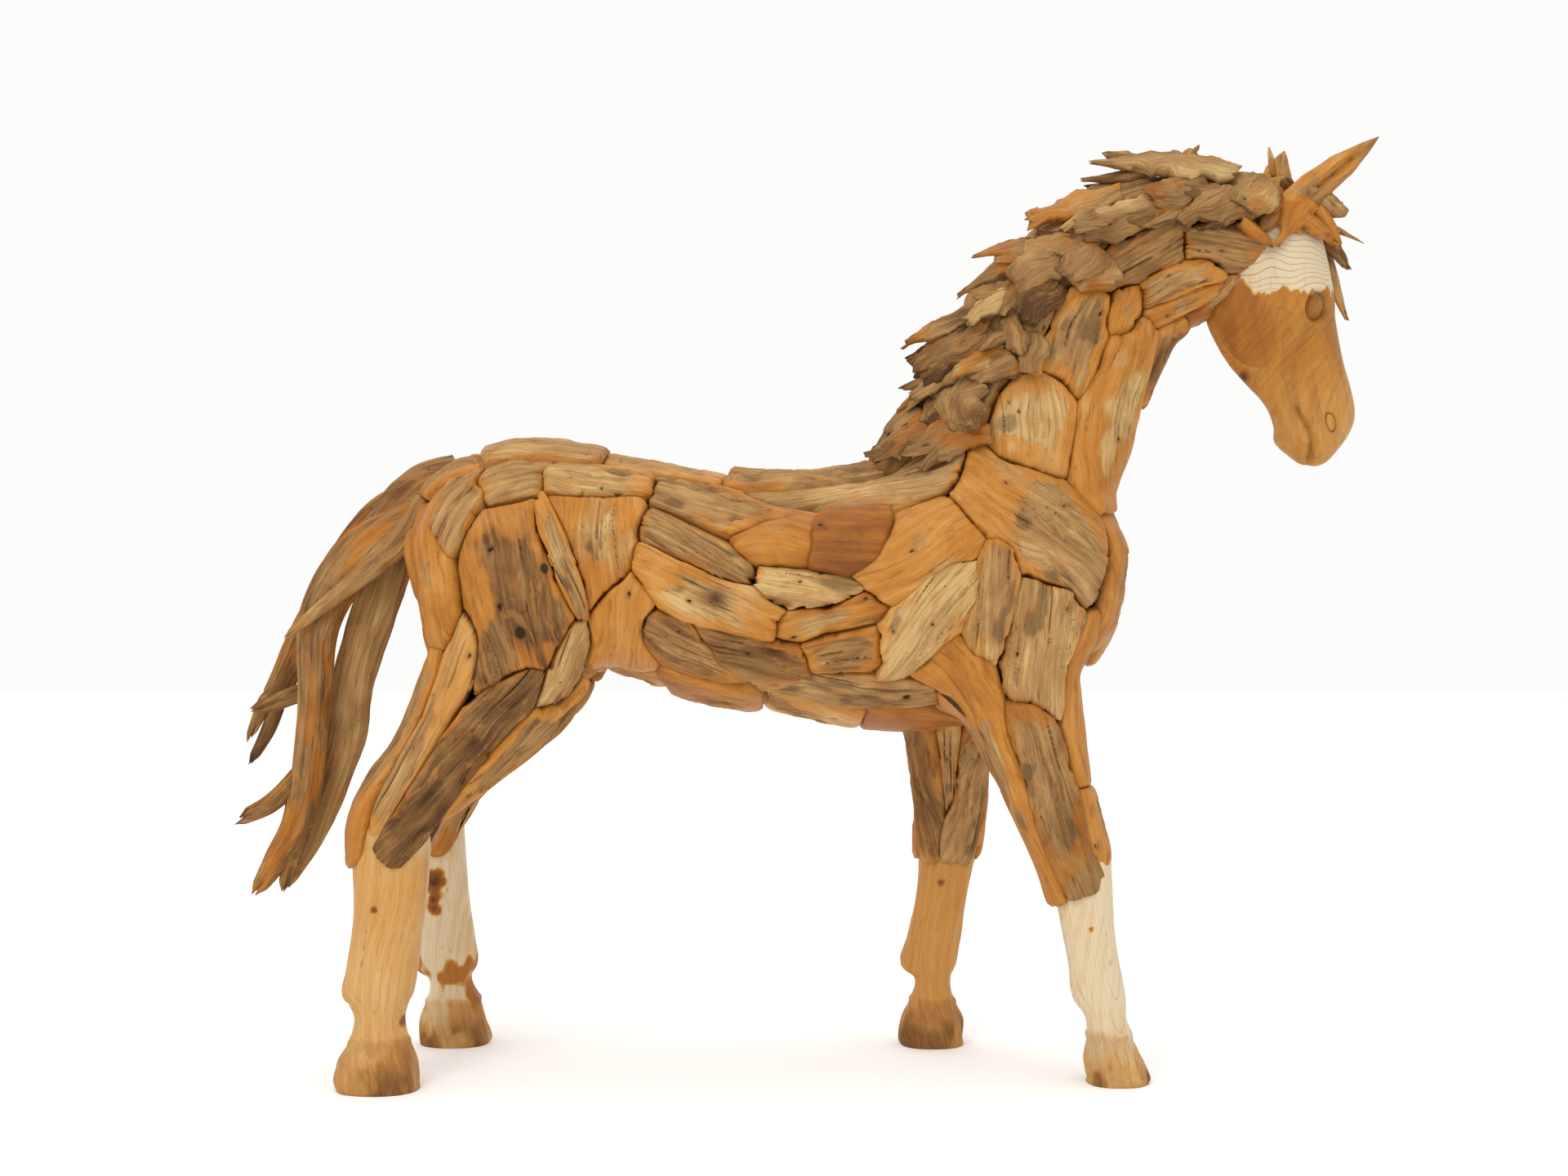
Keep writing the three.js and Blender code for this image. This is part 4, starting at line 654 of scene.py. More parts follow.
def slabRelief(slab, u, v, flow, rho, edge, random):
    # heights over the plain skin, and how weathered and how burnt each point is, and painted shade where
    # cracks, hollows, furrows and pits are sunk into it
    seed = 40 + slab["number"] * 7
    halfLong, halfWide = slab["half"]
    place = stacked(u, flow, slab["number"] * 0.37)

    def noise(lengthways, sideways, offset, layers=3):
        return layeredNoise(place * (lengthways, sideways, 1), seed + offset, layers)

    streak, flakes = noise(7, 190, 3), noise(16, 75, 5)
    stains, hollows = noise(11, 26, 15), noise(20, 42, 17, 2)
    broad = noise(8, 15, 1) - 0.5
    patchShare = 0.12 + 0.68 * rho - slab["shift"] * u / halfLong + 1.15 * broad
    patchShare = patchShare + 0.3 * (noise(22, 48, 0) - 0.5) + 0.28 * (streak - 0.5)
    weather = np.clip(smoothStep(-0.06, 0.08, slab["patch"] - patchShare) * (0.8 + 0.5 * stains), 0, 1)
    weather = np.maximum(weather, 0.55 * smoothStep(0.6, 0.74, stains)) * (slab["patch"] > 0)
    furrow = np.clip(1 - np.abs(streak - 0.5) * 9, 0, 1) ** 2 * smoothStep(0.42, 0.62, noise(9, 26, 8, 2))
    rise = 0.0056 * (noise(8, 12, 9, 2) - 0.5)
    rise = rise - weather * (0.0022 + 0.0085 * (flakes - 0.42) + 0.0028 * furrow + 0.0046 * (streak - 0.5))
    rise = rise - weather * 0.0045 * smoothStep(0.56, 0.78, hollows) + (1 - weather) * 0.0006 * (streak - 0.5)
    # painted shade: the sunk furrows, hollows, cracks and pits are marked dark
    crack = weather * np.maximum(0.55 * furrow, 0.5 * smoothStep(0.6, 0.8, hollows))
    for number in range(random.integers(1, 4)):
        middleU, middleV = random.uniform(-0.7, 0.7) * halfLong, random.uniform(-0.8, 0.8) * halfWide
        long = random.uniform(0.2, 0.6) * halfLong
        wide = random.uniform(0.001, 0.0028)
        taper = np.clip(1 - ((u - middleU) / long) ** 2, 0, 1) ** 0.5
        depth = np.clip(1 - np.abs(flow - middleV) / (wide * taper + 1e-6), 0, 1) * (taper > 0.05)
        rise = rise - 0.0065 * depth * (0.35 + 0.65 * weather)
        crack = np.maximum(crack, depth * (0.4 + 0.45 * weather))
    pits = []
    for number in range(random.integers(0, 3)):
        middleU, middleV = random.uniform(-0.75, 0.75) * halfLong, random.uniform(-0.7, 0.7) * halfWide
        pits.append(("hole", middleU, middleV, random.uniform(0.0018, 0.0036)))
    scorch = 0 * rho
    for kind, middleU, middleV, size in pits + slab["marks"]:
        away = np.hypot((u - middleU) * 0.8, v - middleV) / size
        if kind == "burntKnot":
            scorch = np.maximum(scorch, hump(away, 0, 1.5))
            rise = rise - 0.002 * hump(away, 0, 1)
        else:
            pit = smoothStep(1.15, 0.6, away * (0.8 + 0.4 * flakes))
            rise = rise - 0.006 * pit
            crack = np.maximum(crack, 0.9 * pit)
            scorch = np.maximum(scorch, 0.4 * hump(away, 0, 2.2))
    # old saw and axe cuts leave flat facets, the rim is rounded unevenly, and the slab leans a little
    for number in range(2):
        turn = random.uniform(0, 2 * np.pi)
        cutFrom = random.uniform(*slabShape["chamferFrom"])
        slope = random.uniform(*slabShape["chamferSlope"])
        side = math.cos(turn) * u / halfLong + math.sin(turn) * v / halfWide
        rise = rise - slope * np.clip(side - cutFrom + 0.1 * broad, 0, 0.8)
    wear = layeredNoise(stacked(u * 13, v * 13, slab["number"] * 0.61), seed + 12, 2)
    bevel = np.clip(1 - edge / (random.uniform(*slabShape["bevelWidth"]) * (0.35 + 1.3 * wear)), 0, 1)
    lean = random.uniform(-1, 1, 2)
    rise = rise + 0.0042 * (lean[0] * u / halfLong + lean[1] * v / halfWide)
    drop = random.uniform(*slabShape["bevelDrop"]) * (0.75 + 0.5 * wear)
    rise = rise + slabShape["crown"] * (1 - rho ** 2) - drop * (1 - np.sqrt(1 - 0.96 * bevel ** 2))
    weather = weather * (1 - 0.7 * smoothStep(0.35, 0.9, bevel) * smoothStep(0.48, 0.62, wear))
    return rise, weather, crack, scorch


def slabSurface(slab):
    # the face is a grid on the slab's outline, then three rings down its side and a fan over its back
    step = slabShape["plainStep" if slab["plain"] else "fineStep"]
    count = int(np.clip(slab["half"].sum() / step * 1.25, 24, slabShape["mostCells"])) // 2 * 2
    rho, angle = roundGrid(count)
    table = np.append(slab["outline"], slab["outline"][0])
    reach = np.interp(angle, np.linspace(0, 2 * np.pi, len(table)), table)
    cosine, sine = np.cos(angle), np.sin(angle)
    u, v = rho * reach * cosine * slab["half"][0], rho * reach * sine * slab["half"][1]
    size = np.hypot(cosine * slab["half"][0], sine * slab["half"][1]) * reach
    random = np.random.default_rng(40 + slab["number"] * 7)
    flow = grainFlow(slab, u, v)
    rings = growthRings(slab, u, flow, random)
    rise, weather, crack, scorch = slabRelief(slab, u, v, flow, rho, (1 - rho) * size, random)
    points, normals = skinUnder(slab, u, v)
    index = np.arange(count * count).reshape(count, count)
    quads = [stacked(index[:-1, :-1], index[1:, :-1], index[1:, 1:], index[:-1, 1:]).reshape(-1, 4)]
    rim = np.concatenate([index[:-1, 0], index[-1, :-1], index[:0:-1, -1], index[0, :0:-1]])
    vertices = [(points + moved(slab["lift"] + rise, normals)).reshape(-1, 3)]
    rimPoints, rimNormals = points.reshape(-1, 3)[rim], normals.reshape(-1, 3)[rim]
    inward = unit(slab["middle"] - rimPoints)
    looks = [stacked(u, flow, 0 * u, weather, crack, scorch, rings).reshape(-1, 7)]
    ring, total = rim, count * count
    # the walls down the slab's side are painted dark as shade in the seam, and the back is painted fully dark
    for depth, tuck, dark in slabShape["wall"]:
        deep = depth * slab["thickness"]
        vertices.append(rimPoints + deep * rimNormals + tuck * inward)
        look = looks[0][rim]
        look[:, 2:6] = (deep, slabShape["wallWeather"], dark, 0)
        looks.append(look)
        following = total + np.arange(len(rim))
        quads.append(stacked(ring, following, np.roll(following, -1), np.roll(ring, -1)))
        ring, total = following, total + len(rim)
    vertices.append(slab["middle"][None] - slab["thickness"] * slab["normal"])
    looks.append([(0, 0, -slab["thickness"], slabShape["wallWeather"], 1, 0, 0)])
    looks = np.vstack(looks)
    attributes = dict(zip(("weather", "crack", "scorch", "rings"), looks[:, 3:].T))
    attributes["grain"] = looks[:, :3] + slab["number"] * np.array([0.731, 0.417, 0.293])
    attributes["sand"] = np.full(len(looks), slab["sand"])
    attributes["tone"] = np.full(len(looks), slab["tone"])
    return {"vertices": np.vstack(vertices), "quads": np.vstack(quads),
            "triangles": stacked(ring, total, np.roll(ring, -1)), "attributes": attributes}


def facingOut(surface):
    # turn the faces round if the closed surface has a volume below zero
    quads = surface["quads"]
    corners = np.vstack([quads[:, [0, 1, 2]], quads[:, [0, 2, 3]], surface["triangles"]])
    a, b, c = [surface["vertices"][corners[:, k]] for k in range(3)]
    if dot(a, np.cross(b, c)).sum() < 0:
        surface["quads"] = surface["quads"][:, ::-1]
        surface["triangles"] = surface["triangles"][:, ::-1]
    return surface


def joinedSurfaces(surfaces):
    starts = np.cumsum([0] + [len(one["vertices"]) for one in surfaces])
    joined = {"vertices": np.vstack([one["vertices"] for one in surfaces])}
    for key in ("quads", "triangles"):
        joined[key] = np.vstack([one[key] + start for one, start in zip(surfaces, starts)])
    joined["attributes"] = {}
    for name in surfaces[0]["attributes"]:
        joined["attributes"][name] = np.concatenate([one["attributes"][name] for one in surfaces])
    return joined


def makePiece(node, surface, material):
    mesh = bpy.data.meshes.new(node + "_wood")
    vertices, quads, triangles = surface["vertices"], surface["quads"], surface["triangles"]
    corners = np.concatenate([quads.ravel(), triangles.ravel()]).astype(np.int32)
    sizes = np.concatenate([np.full(len(quads), 4), np.full(len(triangles), 3)]).astype(np.int32)
    mesh.vertices.add(len(vertices))
    mesh.vertices.foreach_set("co", vertices.astype(np.float32).ravel())
    mesh.loops.add(len(corners))
    mesh.loops.foreach_set("vertex_index", corners)
    mesh.polygons.add(len(sizes))
    mesh.polygons.foreach_set("loop_start", np.concatenate([[0], np.cumsum(sizes)[:-1]]).astype(np.int32))
    mesh.polygons.foreach_set("use_smooth", np.ones(len(sizes), bool))
    mesh.update(calc_edges=True)
    for key, values in surface["attributes"].items():
        kind, field = ("FLOAT_VECTOR", "vector") if values.ndim == 2 else ("FLOAT", "value")
        mesh.attributes.new(key, kind, "POINT").data.foreach_set(field, values.astype(np.float32).ravel())
    mesh.validate()
    mesh.materials.append(material)
    piece = addObject(node + "_wood", mesh)
    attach(piece, "root")
    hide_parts(node)


# The wood, one procedural finish for every piece. It reads the piece's own attributes: grain is along,
# across and deep in metres, sand is the colour of the sanded wood, weather is where it is grey driftwood,
# tone is that driftwood's colour, the crack value is painted shade, darker the deeper a point lies in a
# crack, groove, pit or seam between slabs, scorch is how burnt or stained, and rings counts the growth rings.

woodFinish = {
    "sanded": [(0.0, (0.17, 0.052, 0.008)), (0.25, (0.315, 0.104, 0.011)), (0.5, (0.445, 0.180, 0.025)),
               (0.7, (0.52, 0.255, 0.064)), (0.85, (0.575, 0.345, 0.128)), (1.0, (0.645, 0.525, 0.350))],
    "weathered": [(0.0, (0.090, 0.038, 0.013)), (0.3, (0.205, 0.097, 0.030)), (0.55, (0.335, 0.180, 0.063)),
                  (0.8, (0.445, 0.262, 0.098)), (1.0, (0.565, 0.370, 0.150))],
    "veinColour": (0.20, 0.066, 0.010, 1),
    "furrowColour": (0.125, 0.060, 0.026, 1),
    # the near black of the painted shade in the driftwood's fissures
    "fissureShadeColour": (0.070, 0.034, 0.016, 1),
    # the near black of the painted shade in cracks, grooves, pits and seams
    "crackShadeColour": (0.028, 0.013, 0.006, 1),
    "ringColour": (0.22, 0.095, 0.025, 1),
    "scorchColour": (0.065, 0.020, 0.008, 1),
    "sandedRoughness": 0.46,
    "weatheredRoughness": 0.82,
}


class Recipe:
    # a short way to write shader nodes: each call makes one node and returns its result
    def __init__(self, material):
        self.tree = material.node_tree
        self.nodes = self.tree.nodes

    def put(self, socket, value):
        if hasattr(value, "is_output"):
            self.tree.links.new(value, socket)
        else:
            socket.default_value = value

    def attribute(self, name, output):
        node = self.nodes.new("ShaderNodeAttribute")
        node.attribute_name = name
        return node.outputs[output]

    def maths(self, operation, a, b=0.0, clamp=False):
        node = self.nodes.new("ShaderNodeMath")
        node.operation = operation
        node.use_clamp = clamp
        self.put(node.inputs[0], a)
        self.put(node.inputs[1], b)
        return node.outputs[0]

    def times(self, a, b, clamp=False):
        return self.maths("MULTIPLY", a, b, clamp)

    def sum(self, *values):
        total = values[0]
        for value in values[1:]:
            total = self.maths("ADD", total, value)
        return total

    def swing(self, value, amount):
        # a noise from 0 to 1 made a change that goes both ways, by half the amount at most
        node = self.nodes.new("ShaderNodeMath")
        node.operation = "MULTIPLY_ADD"
        self.put(node.inputs[0], value)
        node.inputs[1].default_value = amount
        node.inputs[2].default_value = -amount / 2
        return node.outputs[0]

    def stretched(self, vector, scale):
        node = self.nodes.new("ShaderNodeMapping")
        self.put(node.inputs["Vector"], vector)
        node.inputs["Scale"].default_value = scale
        return node.outputs[0]

    def noise(self, vector, scale, detail=3.0, distortion=0.0, rough=0.55):
        node = self.nodes.new("ShaderNodeTexNoise")
        self.put(node.inputs["Vector"], self.stretched(vector, scale))
        node.inputs["Scale"].default_value = 1.0
        node.inputs["Detail"].default_value = detail
        node.inputs["Roughness"].default_value = rough
        node.inputs["Distortion"].default_value = distortion
        return node.outputs["Fac"]

    def bands(self, vector, scale, distortion, detail=2.0, roughness=0.6):
        node = self.nodes.new("ShaderNodeTexWave")
        node.wave_type = "BANDS"
        node.bands_direction = "Y"
        self.put(node.inputs["Vector"], self.stretched(vector, scale))
        node.inputs["Scale"].default_value = 1.0
        node.inputs["Distortion"].default_value = distortion
        node.inputs["Detail"].default_value = detail
        node.inputs["Detail Roughness"].default_value = roughness
        return node.outputs["Fac"]

    def ramp(self, value, stops):
        node = self.nodes.new("ShaderNodeValToRGB")
        self.put(node.inputs[0], value)
        elements = node.color_ramp.elements
        while len(elements) < len(stops):
            elements.new(0.5)
        for element, (place, colour) in zip(elements, stops):
            element.position = place
            element.color = (*colour, 1)
        return node.outputs["Color"]

    def mixed(self, share, a, b, blend="MIX"):
        node = self.nodes.new("ShaderNodeMix")
        node.data_type = "RGBA"
        node.blend_type = blend
        self.put(node.inputs["Factor"], share)
        self.put(node.inputs["A"], a)
        self.put(node.inputs["B"], b)
        return node.outputs["Result"]

    def ranged(self, value, low, high, newLow=0.0, newHigh=1.0):
        node = self.nodes.new("ShaderNodeMapRange")
        node.interpolation_type = "SMOOTHSTEP"
        self.put(node.inputs["Value"], value)
        for name, number in (("From Min", low), ("From Max", high), ("To Min", newLow), ("To Max", newHigh)):
            node.inputs[name].default_value = number
        return node.outputs["Result"]


def makeWood(name, warm, dark, blotches=0.80, ringShare=0.22, paleRingShare=0.22):
    # warm moves the sanded colour towards honey, dark shades the piece, blotches is how far colours wander
    material = bpy.data.materials.new(name)
    material.use_nodes = True
    r = Recipe(material)
    shader = r.nodes["Principled BSDF"]
    grain = r.attribute("grain", "Vector")
    names = ("sand", "tone", "weather", "crack", "scorch", "rings")
    sand, tone, weather, crack, scorch, rings = [r.attribute(key, "Fac") for key in names]

    fibre = r.noise(grain, (14, 480, 300), 3, 0.3)
    streak = r.noise(grain, (4.5, 95, 60), 4, 1.1)
    blotch = r.noise(grain, (8, 17, 17), 4, 0.9, 0.6)
    stain = r.noise(grain, (13, 30, 30), 3, 1.4, 0.65)
    figure = r.bands(grain, (2.5, 17, 12), 9.0, 3.0, 0.55)
    fissure = r.noise(grain, (10, 210, 120), 3, 0.7)

    # the sanded wood: slow blotches, long streaks and growth rings move the colour up and down its ramp
    wander = r.sum(r.sum(sand, warm), r.swing(streak, 0.5 * blotches), r.swing(blotch, blotches))
    sandPlace = r.sum(wander, r.swing(figure, 0.06))
    sanded = r.ramp(sandPlace, woodFinish["sanded"])
    vein = r.times(r.ranged(fibre, 0.28, 0.50, 1.0, 0.0), r.ranged(sand, 0.80, 1.0, 0.30, 0.06))
    sanded = r.mixed(vein, sanded, woodFinish["veinColour"])
    dashDepth = r.ranged(sand, 0.80, 1.0, 0.62 * blotches, 0.08 * blotches)
    dashes = r.noise(grain, (16, 120, 80), 4, 0.8, 0.6)
    dash = r.times(r.ranged(dashes, 0.34, 0.45, 1.0, 0.0), dashDepth)
    sanded = r.mixed(dash, sanded, woodFinish["veinColour"])
    redness = r.times(r.ranged(stain, 0.60, 0.76), 0.45 * blotches)
    sanded = r.mixed(redness, sanded, (0.36, 0.115, 0.018, 1))
    offRing = r.maths("ABSOLUTE", r.maths("COSINE", r.times(rings, math.pi)))
    ringDepth = r.ranged(sand, 0.85, 1.0, ringShare, paleRingShare)
    onRing = r.times(r.ranged(offRing, 0.0, 0.26, 1.0, 0.0), ringDepth)
    sanded = r.mixed(onRing, sanded, woodFinish["ringColour"])

    # the driftwood: fibres and blotches of grey, tan and brown, with dark furrows along the grain and painted
    # shade in its fissures
    tonePlace = r.sum(tone, 0.06, r.swing(streak, 1.05), r.swing(blotch, 1.15))
    drift = r.ramp(tonePlace, woodFinish["weathered"])
    furrow = r.times(r.ranged(fibre, 0.34, 0.52, 1.0, 0.0), 0.36)
    drift = r.mixed(furrow, drift, woodFinish["furrowColour"])
    # painted shade: the fissures that the bump sinks below are mixed towards near black
    split = r.times(r.ranged(fissure, 0.25, 0.37, 1.0, 0.0), 0.62)
    drift = r.mixed(split, drift, woodFinish["fissureShadeColour"])
    ochre = r.times(r.ranged(stain, 0.53, 0.68), 0.60)
    drift = r.mixed(ochre, drift, (0.43, 0.185, 0.045, 1))

    # worm holes, only a bump and not cut into the mesh: their dark is painted shade, taken into the
    # near-black mix below
    worms = r.nodes.new("ShaderNodeTexVoronoi")
    r.put(worms.inputs["Vector"], r.stretched(grain, (46, 52, 52)))
    worms.inputs["Scale"].default_value = 1.0
    chosen = r.nodes.new("ShaderNodeSeparateColor")
    r.put(chosen.inputs["Color"], worms.outputs["Color"])
    hole = r.ranged(worms.outputs["Distance"], 0.055, 0.10, 1.0, 0.0)
    hole = r.times(hole, r.maths("GREATER_THAN", chosen.outputs[0], 0.93))
    hole = r.times(hole, r.ranged(weather, 0.0, 1.0, 0.25, 0.9))

    colour = r.mixed(weather, sanded, drift)
    colour = r.mixed(r.times(scorch, 0.92, True), colour, woodFinish["scorchColour"])
    # painted shade: cracks, grooves, pits, seams and worm holes are mixed towards near black
    deep = r.maths("MAXIMUM", r.ranged(crack, 0.15, 0.85), hole)
    colour = r.mixed(r.times(deep, 0.90, True), colour, woodFinish["crackShadeColour"])
    colour = r.mixed(1.0, colour, (dark, dark, dark, 1), "MULTIPLY")
    r.put(shader.inputs["Base Color"], colour)

    plain = r.ranged(weather, 0.0, 1.0, woodFinish["sandedRoughness"], woodFinish["weatheredRoughness"])
    r.put(shader.inputs["Roughness"], r.maths("ADD", plain, r.swing(streak, 0.16), True))
    shader.inputs["Specular IOR Level"].default_value = 0.20

    fine = r.times(fibre, r.ranged(weather, 0.0, 1.0, 0.05, 0.55))
    coarse = r.times(streak, r.ranged(weather, 0.0, 1.0, 0.12, 1.25))
    sunk = r.times(r.maths("MAXIMUM", r.times(split, weather), hole), -0.8)
    bump = r.nodes.new("ShaderNodeBump")
    bump.inputs["Strength"].default_value = 0.75
    bump.inputs["Distance"].default_value = 0.0026
    r.put(bump.inputs["Height"], r.sum(fine, coarse, sunk))
    r.put(shader.inputs["Normal"], bump.outputs["Normal"])
    return material


woods = {
    "sanded_teak": makeWood("sandedTeak", 0.0, 1.0),
    "brown_teak": makeWood("brownTeak", -0.04, 0.92),
    "pale_teak": makeWood("paleTeak", 0.03, 1.0),
    "weathered_teak": makeWood("weatheredTeak", 0.0, 0.97),
    "bleached_teak": makeWood("bleachedTeak", 0.0, 0.97, 0.16, 0.30, 0.30),
    "honey_teak": makeWood("honeyTeak", 0.0, 0.97, 0.20, 0.26),
    "dark_teak": makeWood("darkTeak", -0.03, 0.86),
}
carvedWood = makeWood("carvedTeak", 0.0, 0.93, 0.36, 0.34, 0.80)
nodesOfSlot = {
    "brown_teak": (
        "thigh_slab", "violet_rib", "middle_arm_slab", "dark_gaskin_slab", "belly_slab", "tail_branches",
    ),
    "pale_teak": ("pale_rib", "pale_girth_slab", "neck_base_slab", "croup_plank", "right_ear", "left_ear"),
    "weathered_teak": (
        "grey_rib", "shoulder_slab", "saddle_plank", "crest_grey_slab", "poll_slab", "tail_slabs",
    ),
    "bleached_teak": ("right_fore_leg", "left_hind_leg"),
    "honey_teak": ("right_hind_leg", "left_fore_leg", "honey_gaskin_strip"),
    "dark_teak": ("right_mane_upper", "right_mane_lower", "left_mane"),
}
slotOfNode = {node: slot for slot, nodes in nodesOfSlot.items() for node in nodes}
print("the wood finishes are made")


# Pieces gather their surfaces here, by node, and each node becomes one object at the end

surfacesOf = {}


def addSurface(node, surface):
    surfacesOf.setdefault(node, []).append(surface)


rightRows = spreadRows(rightSlabs)
slabs = placeSlabs(rightRows + spreadRows(plainSlabs), len(rightRows))
layHeightGrids(slabs)
for slab in slabs:
    findOutline(slab, slabs)
for slab in slabs:
    addSurface(slab["node"], slabSurface(slab))
print("the slabs are cut:", len(slabs))


def tubeSurface(points, random, grain, sand, tone, weather, crack, scorch, rings=None):
    # rows of equally many points, each end closed by a fan to its own middle
    rows, sides = points.shape[:2]
    index = np.arange(rows * sides).reshape(rows, sides)
    following = np.roll(index, -1, axis=1)
    quads = stacked(index[:-1], following[:-1], following[1:], index[1:]).reshape(-1, 4)
    first = rows * sides
    triangles = np.vstack([
        stacked(first, following[0], index[0]),
        stacked(first + 1, index[-1], following[-1]),
    ])
    vertices = np.vstack([points.reshape(-1, 3), points[0].mean(0), points[-1].mean(0)])
    if rings is None:
        rings = 0 * sand
    attributes = {
        "grain": grain, "sand": sand, "tone": tone, "weather": weather, "crack": crack, "scorch": scorch,
        "rings": rings,
    }
    for name, values in attributes.items():
        ends = np.stack([values[0].mean(0), values[-1].mean(0)])
        attributes[name] = np.concatenate([values.reshape(rows * sides, *values.shape[2:]), ends])
    attributes["grain"] = attributes["grain"] + random.uniform(-3, 3, 3)
    return {"vertices": vertices, "quads": quads, "triangles": triangles, "attributes": attributes}


def turnsOf(sides):
    return (np.arange(sides) / sides * 2 * np.pi)[None]


def gridNormals(points, angle):
    # points are rows x sides x 3, closed round the sides, and +X is where the angle is 0
    around = np.roll(points, -1, axis=1) - np.roll(points, 1, axis=1)
    normals = unit(np.cross(around, np.gradient(points, axis=0)))
    return -normals if (normals[..., 0] * np.cos(angle)).mean() < 0 else normals


# The lower legs, each one block with its hoof

legShape = {
    "step": 0.0042,
    "sides": 108,
    "squareness": 0.86,
    "coronetHeight": 0.088,
    "hoofFacets": 7,
    "legs": {  # height, x, y, half depth, half width
        "right_hind_leg": [
            (0, -0.795, -0.204, 0.075, 0.068), (0.014, -0.799, -0.204, 0.079, 0.07),
            (0.051, -0.798, -0.202, 0.072, 0.064), (0.089, -0.797, -0.194, 0.054, 0.052),
            (0.127, -0.795, -0.19, 0.045, 0.045), (0.157, -0.795, -0.187, 0.052, 0.048),
            (0.187, -0.796, -0.184, 0.064, 0.052), (0.315, -0.781, -0.174, 0.065, 0.056),
            (0.465, -0.777, -0.163, 0.07, 0.057), (0.5, -0.765, -0.16, 0.042, 0.036),
            (0.625, -0.69, -0.148, 0.036, 0.03),
        ],
        "left_hind_leg": [
            (0, -0.716, 0.205, 0.069, 0.064), (0.012, -0.716, 0.205, 0.073, 0.066),
            (0.048, -0.719, 0.204, 0.068, 0.061), (0.089, -0.718, 0.203, 0.055, 0.052),
            (0.131, -0.724, 0.202, 0.043, 0.044), (0.172, -0.733, 0.201, 0.062, 0.05),
            (0.296, -0.744, 0.197, 0.056, 0.05), (0.455, -0.755, 0.179, 0.06, 0.052),
            (0.49, -0.742, 0.176, 0.038, 0.034), (0.615, -0.672, 0.164, 0.032, 0.028),
        ],
        "right_fore_leg": [
            (0, 0.568, -0.148, 0.057, 0.06), (0.012, 0.57, -0.148, 0.059, 0.062),
            (0.043, 0.563, -0.142, 0.056, 0.057), (0.081, 0.556, -0.144, 0.043, 0.046),
            (0.119, 0.549, -0.145, 0.038, 0.041), (0.157, 0.538, -0.146, 0.047, 0.044),
            (0.271, 0.517, -0.147, 0.049, 0.045), (0.425, 0.499, -0.148, 0.056, 0.048),
            (0.46, 0.49, -0.148, 0.038, 0.032), (0.585, 0.452, -0.146, 0.034, 0.028),
        ],
        "left_fore_leg": [
            (0, 0.247, 0.194, 0.063, 0.062), (0.012, 0.246, 0.194, 0.067, 0.064),
            (0.051, 0.247, 0.194, 0.063, 0.06), (0.093, 0.247, 0.194, 0.044, 0.046),
            (0.134, 0.248, 0.194, 0.036, 0.041), (0.171, 0.243, 0.194, 0.054, 0.044),
            (0.299, 0.267, 0.193, 0.052, 0.046), (0.445, 0.286, 0.187, 0.06, 0.05),
            (0.48, 0.286, 0.184, 0.038, 0.032), (0.595, 0.287, 0.172, 0.034, 0.028),
        ],
    },
    "sand": {"right_hind_leg": 0.80, "left_hind_leg": 0.94, "right_fore_leg": 0.98, "left_fore_leg": 0.64},
    "knots": {  # x and z of its middle, then its radius: one on the far hind leg, with two drops under it
        "left_hind_leg": [(-0.749, 0.330, 0.024), (-0.752, 0.294, 0.010), (-0.750, 0.276, 0.013)],
        "right_hind_leg": [(-0.745, 0.125, 0.009), (-0.800, 0.330, 0.006)],
        "right_fore_leg": [(0.515, 0.290, 0.005)],
        "left_fore_leg": [(0.262, 0.330, 0.007)],
    },
}


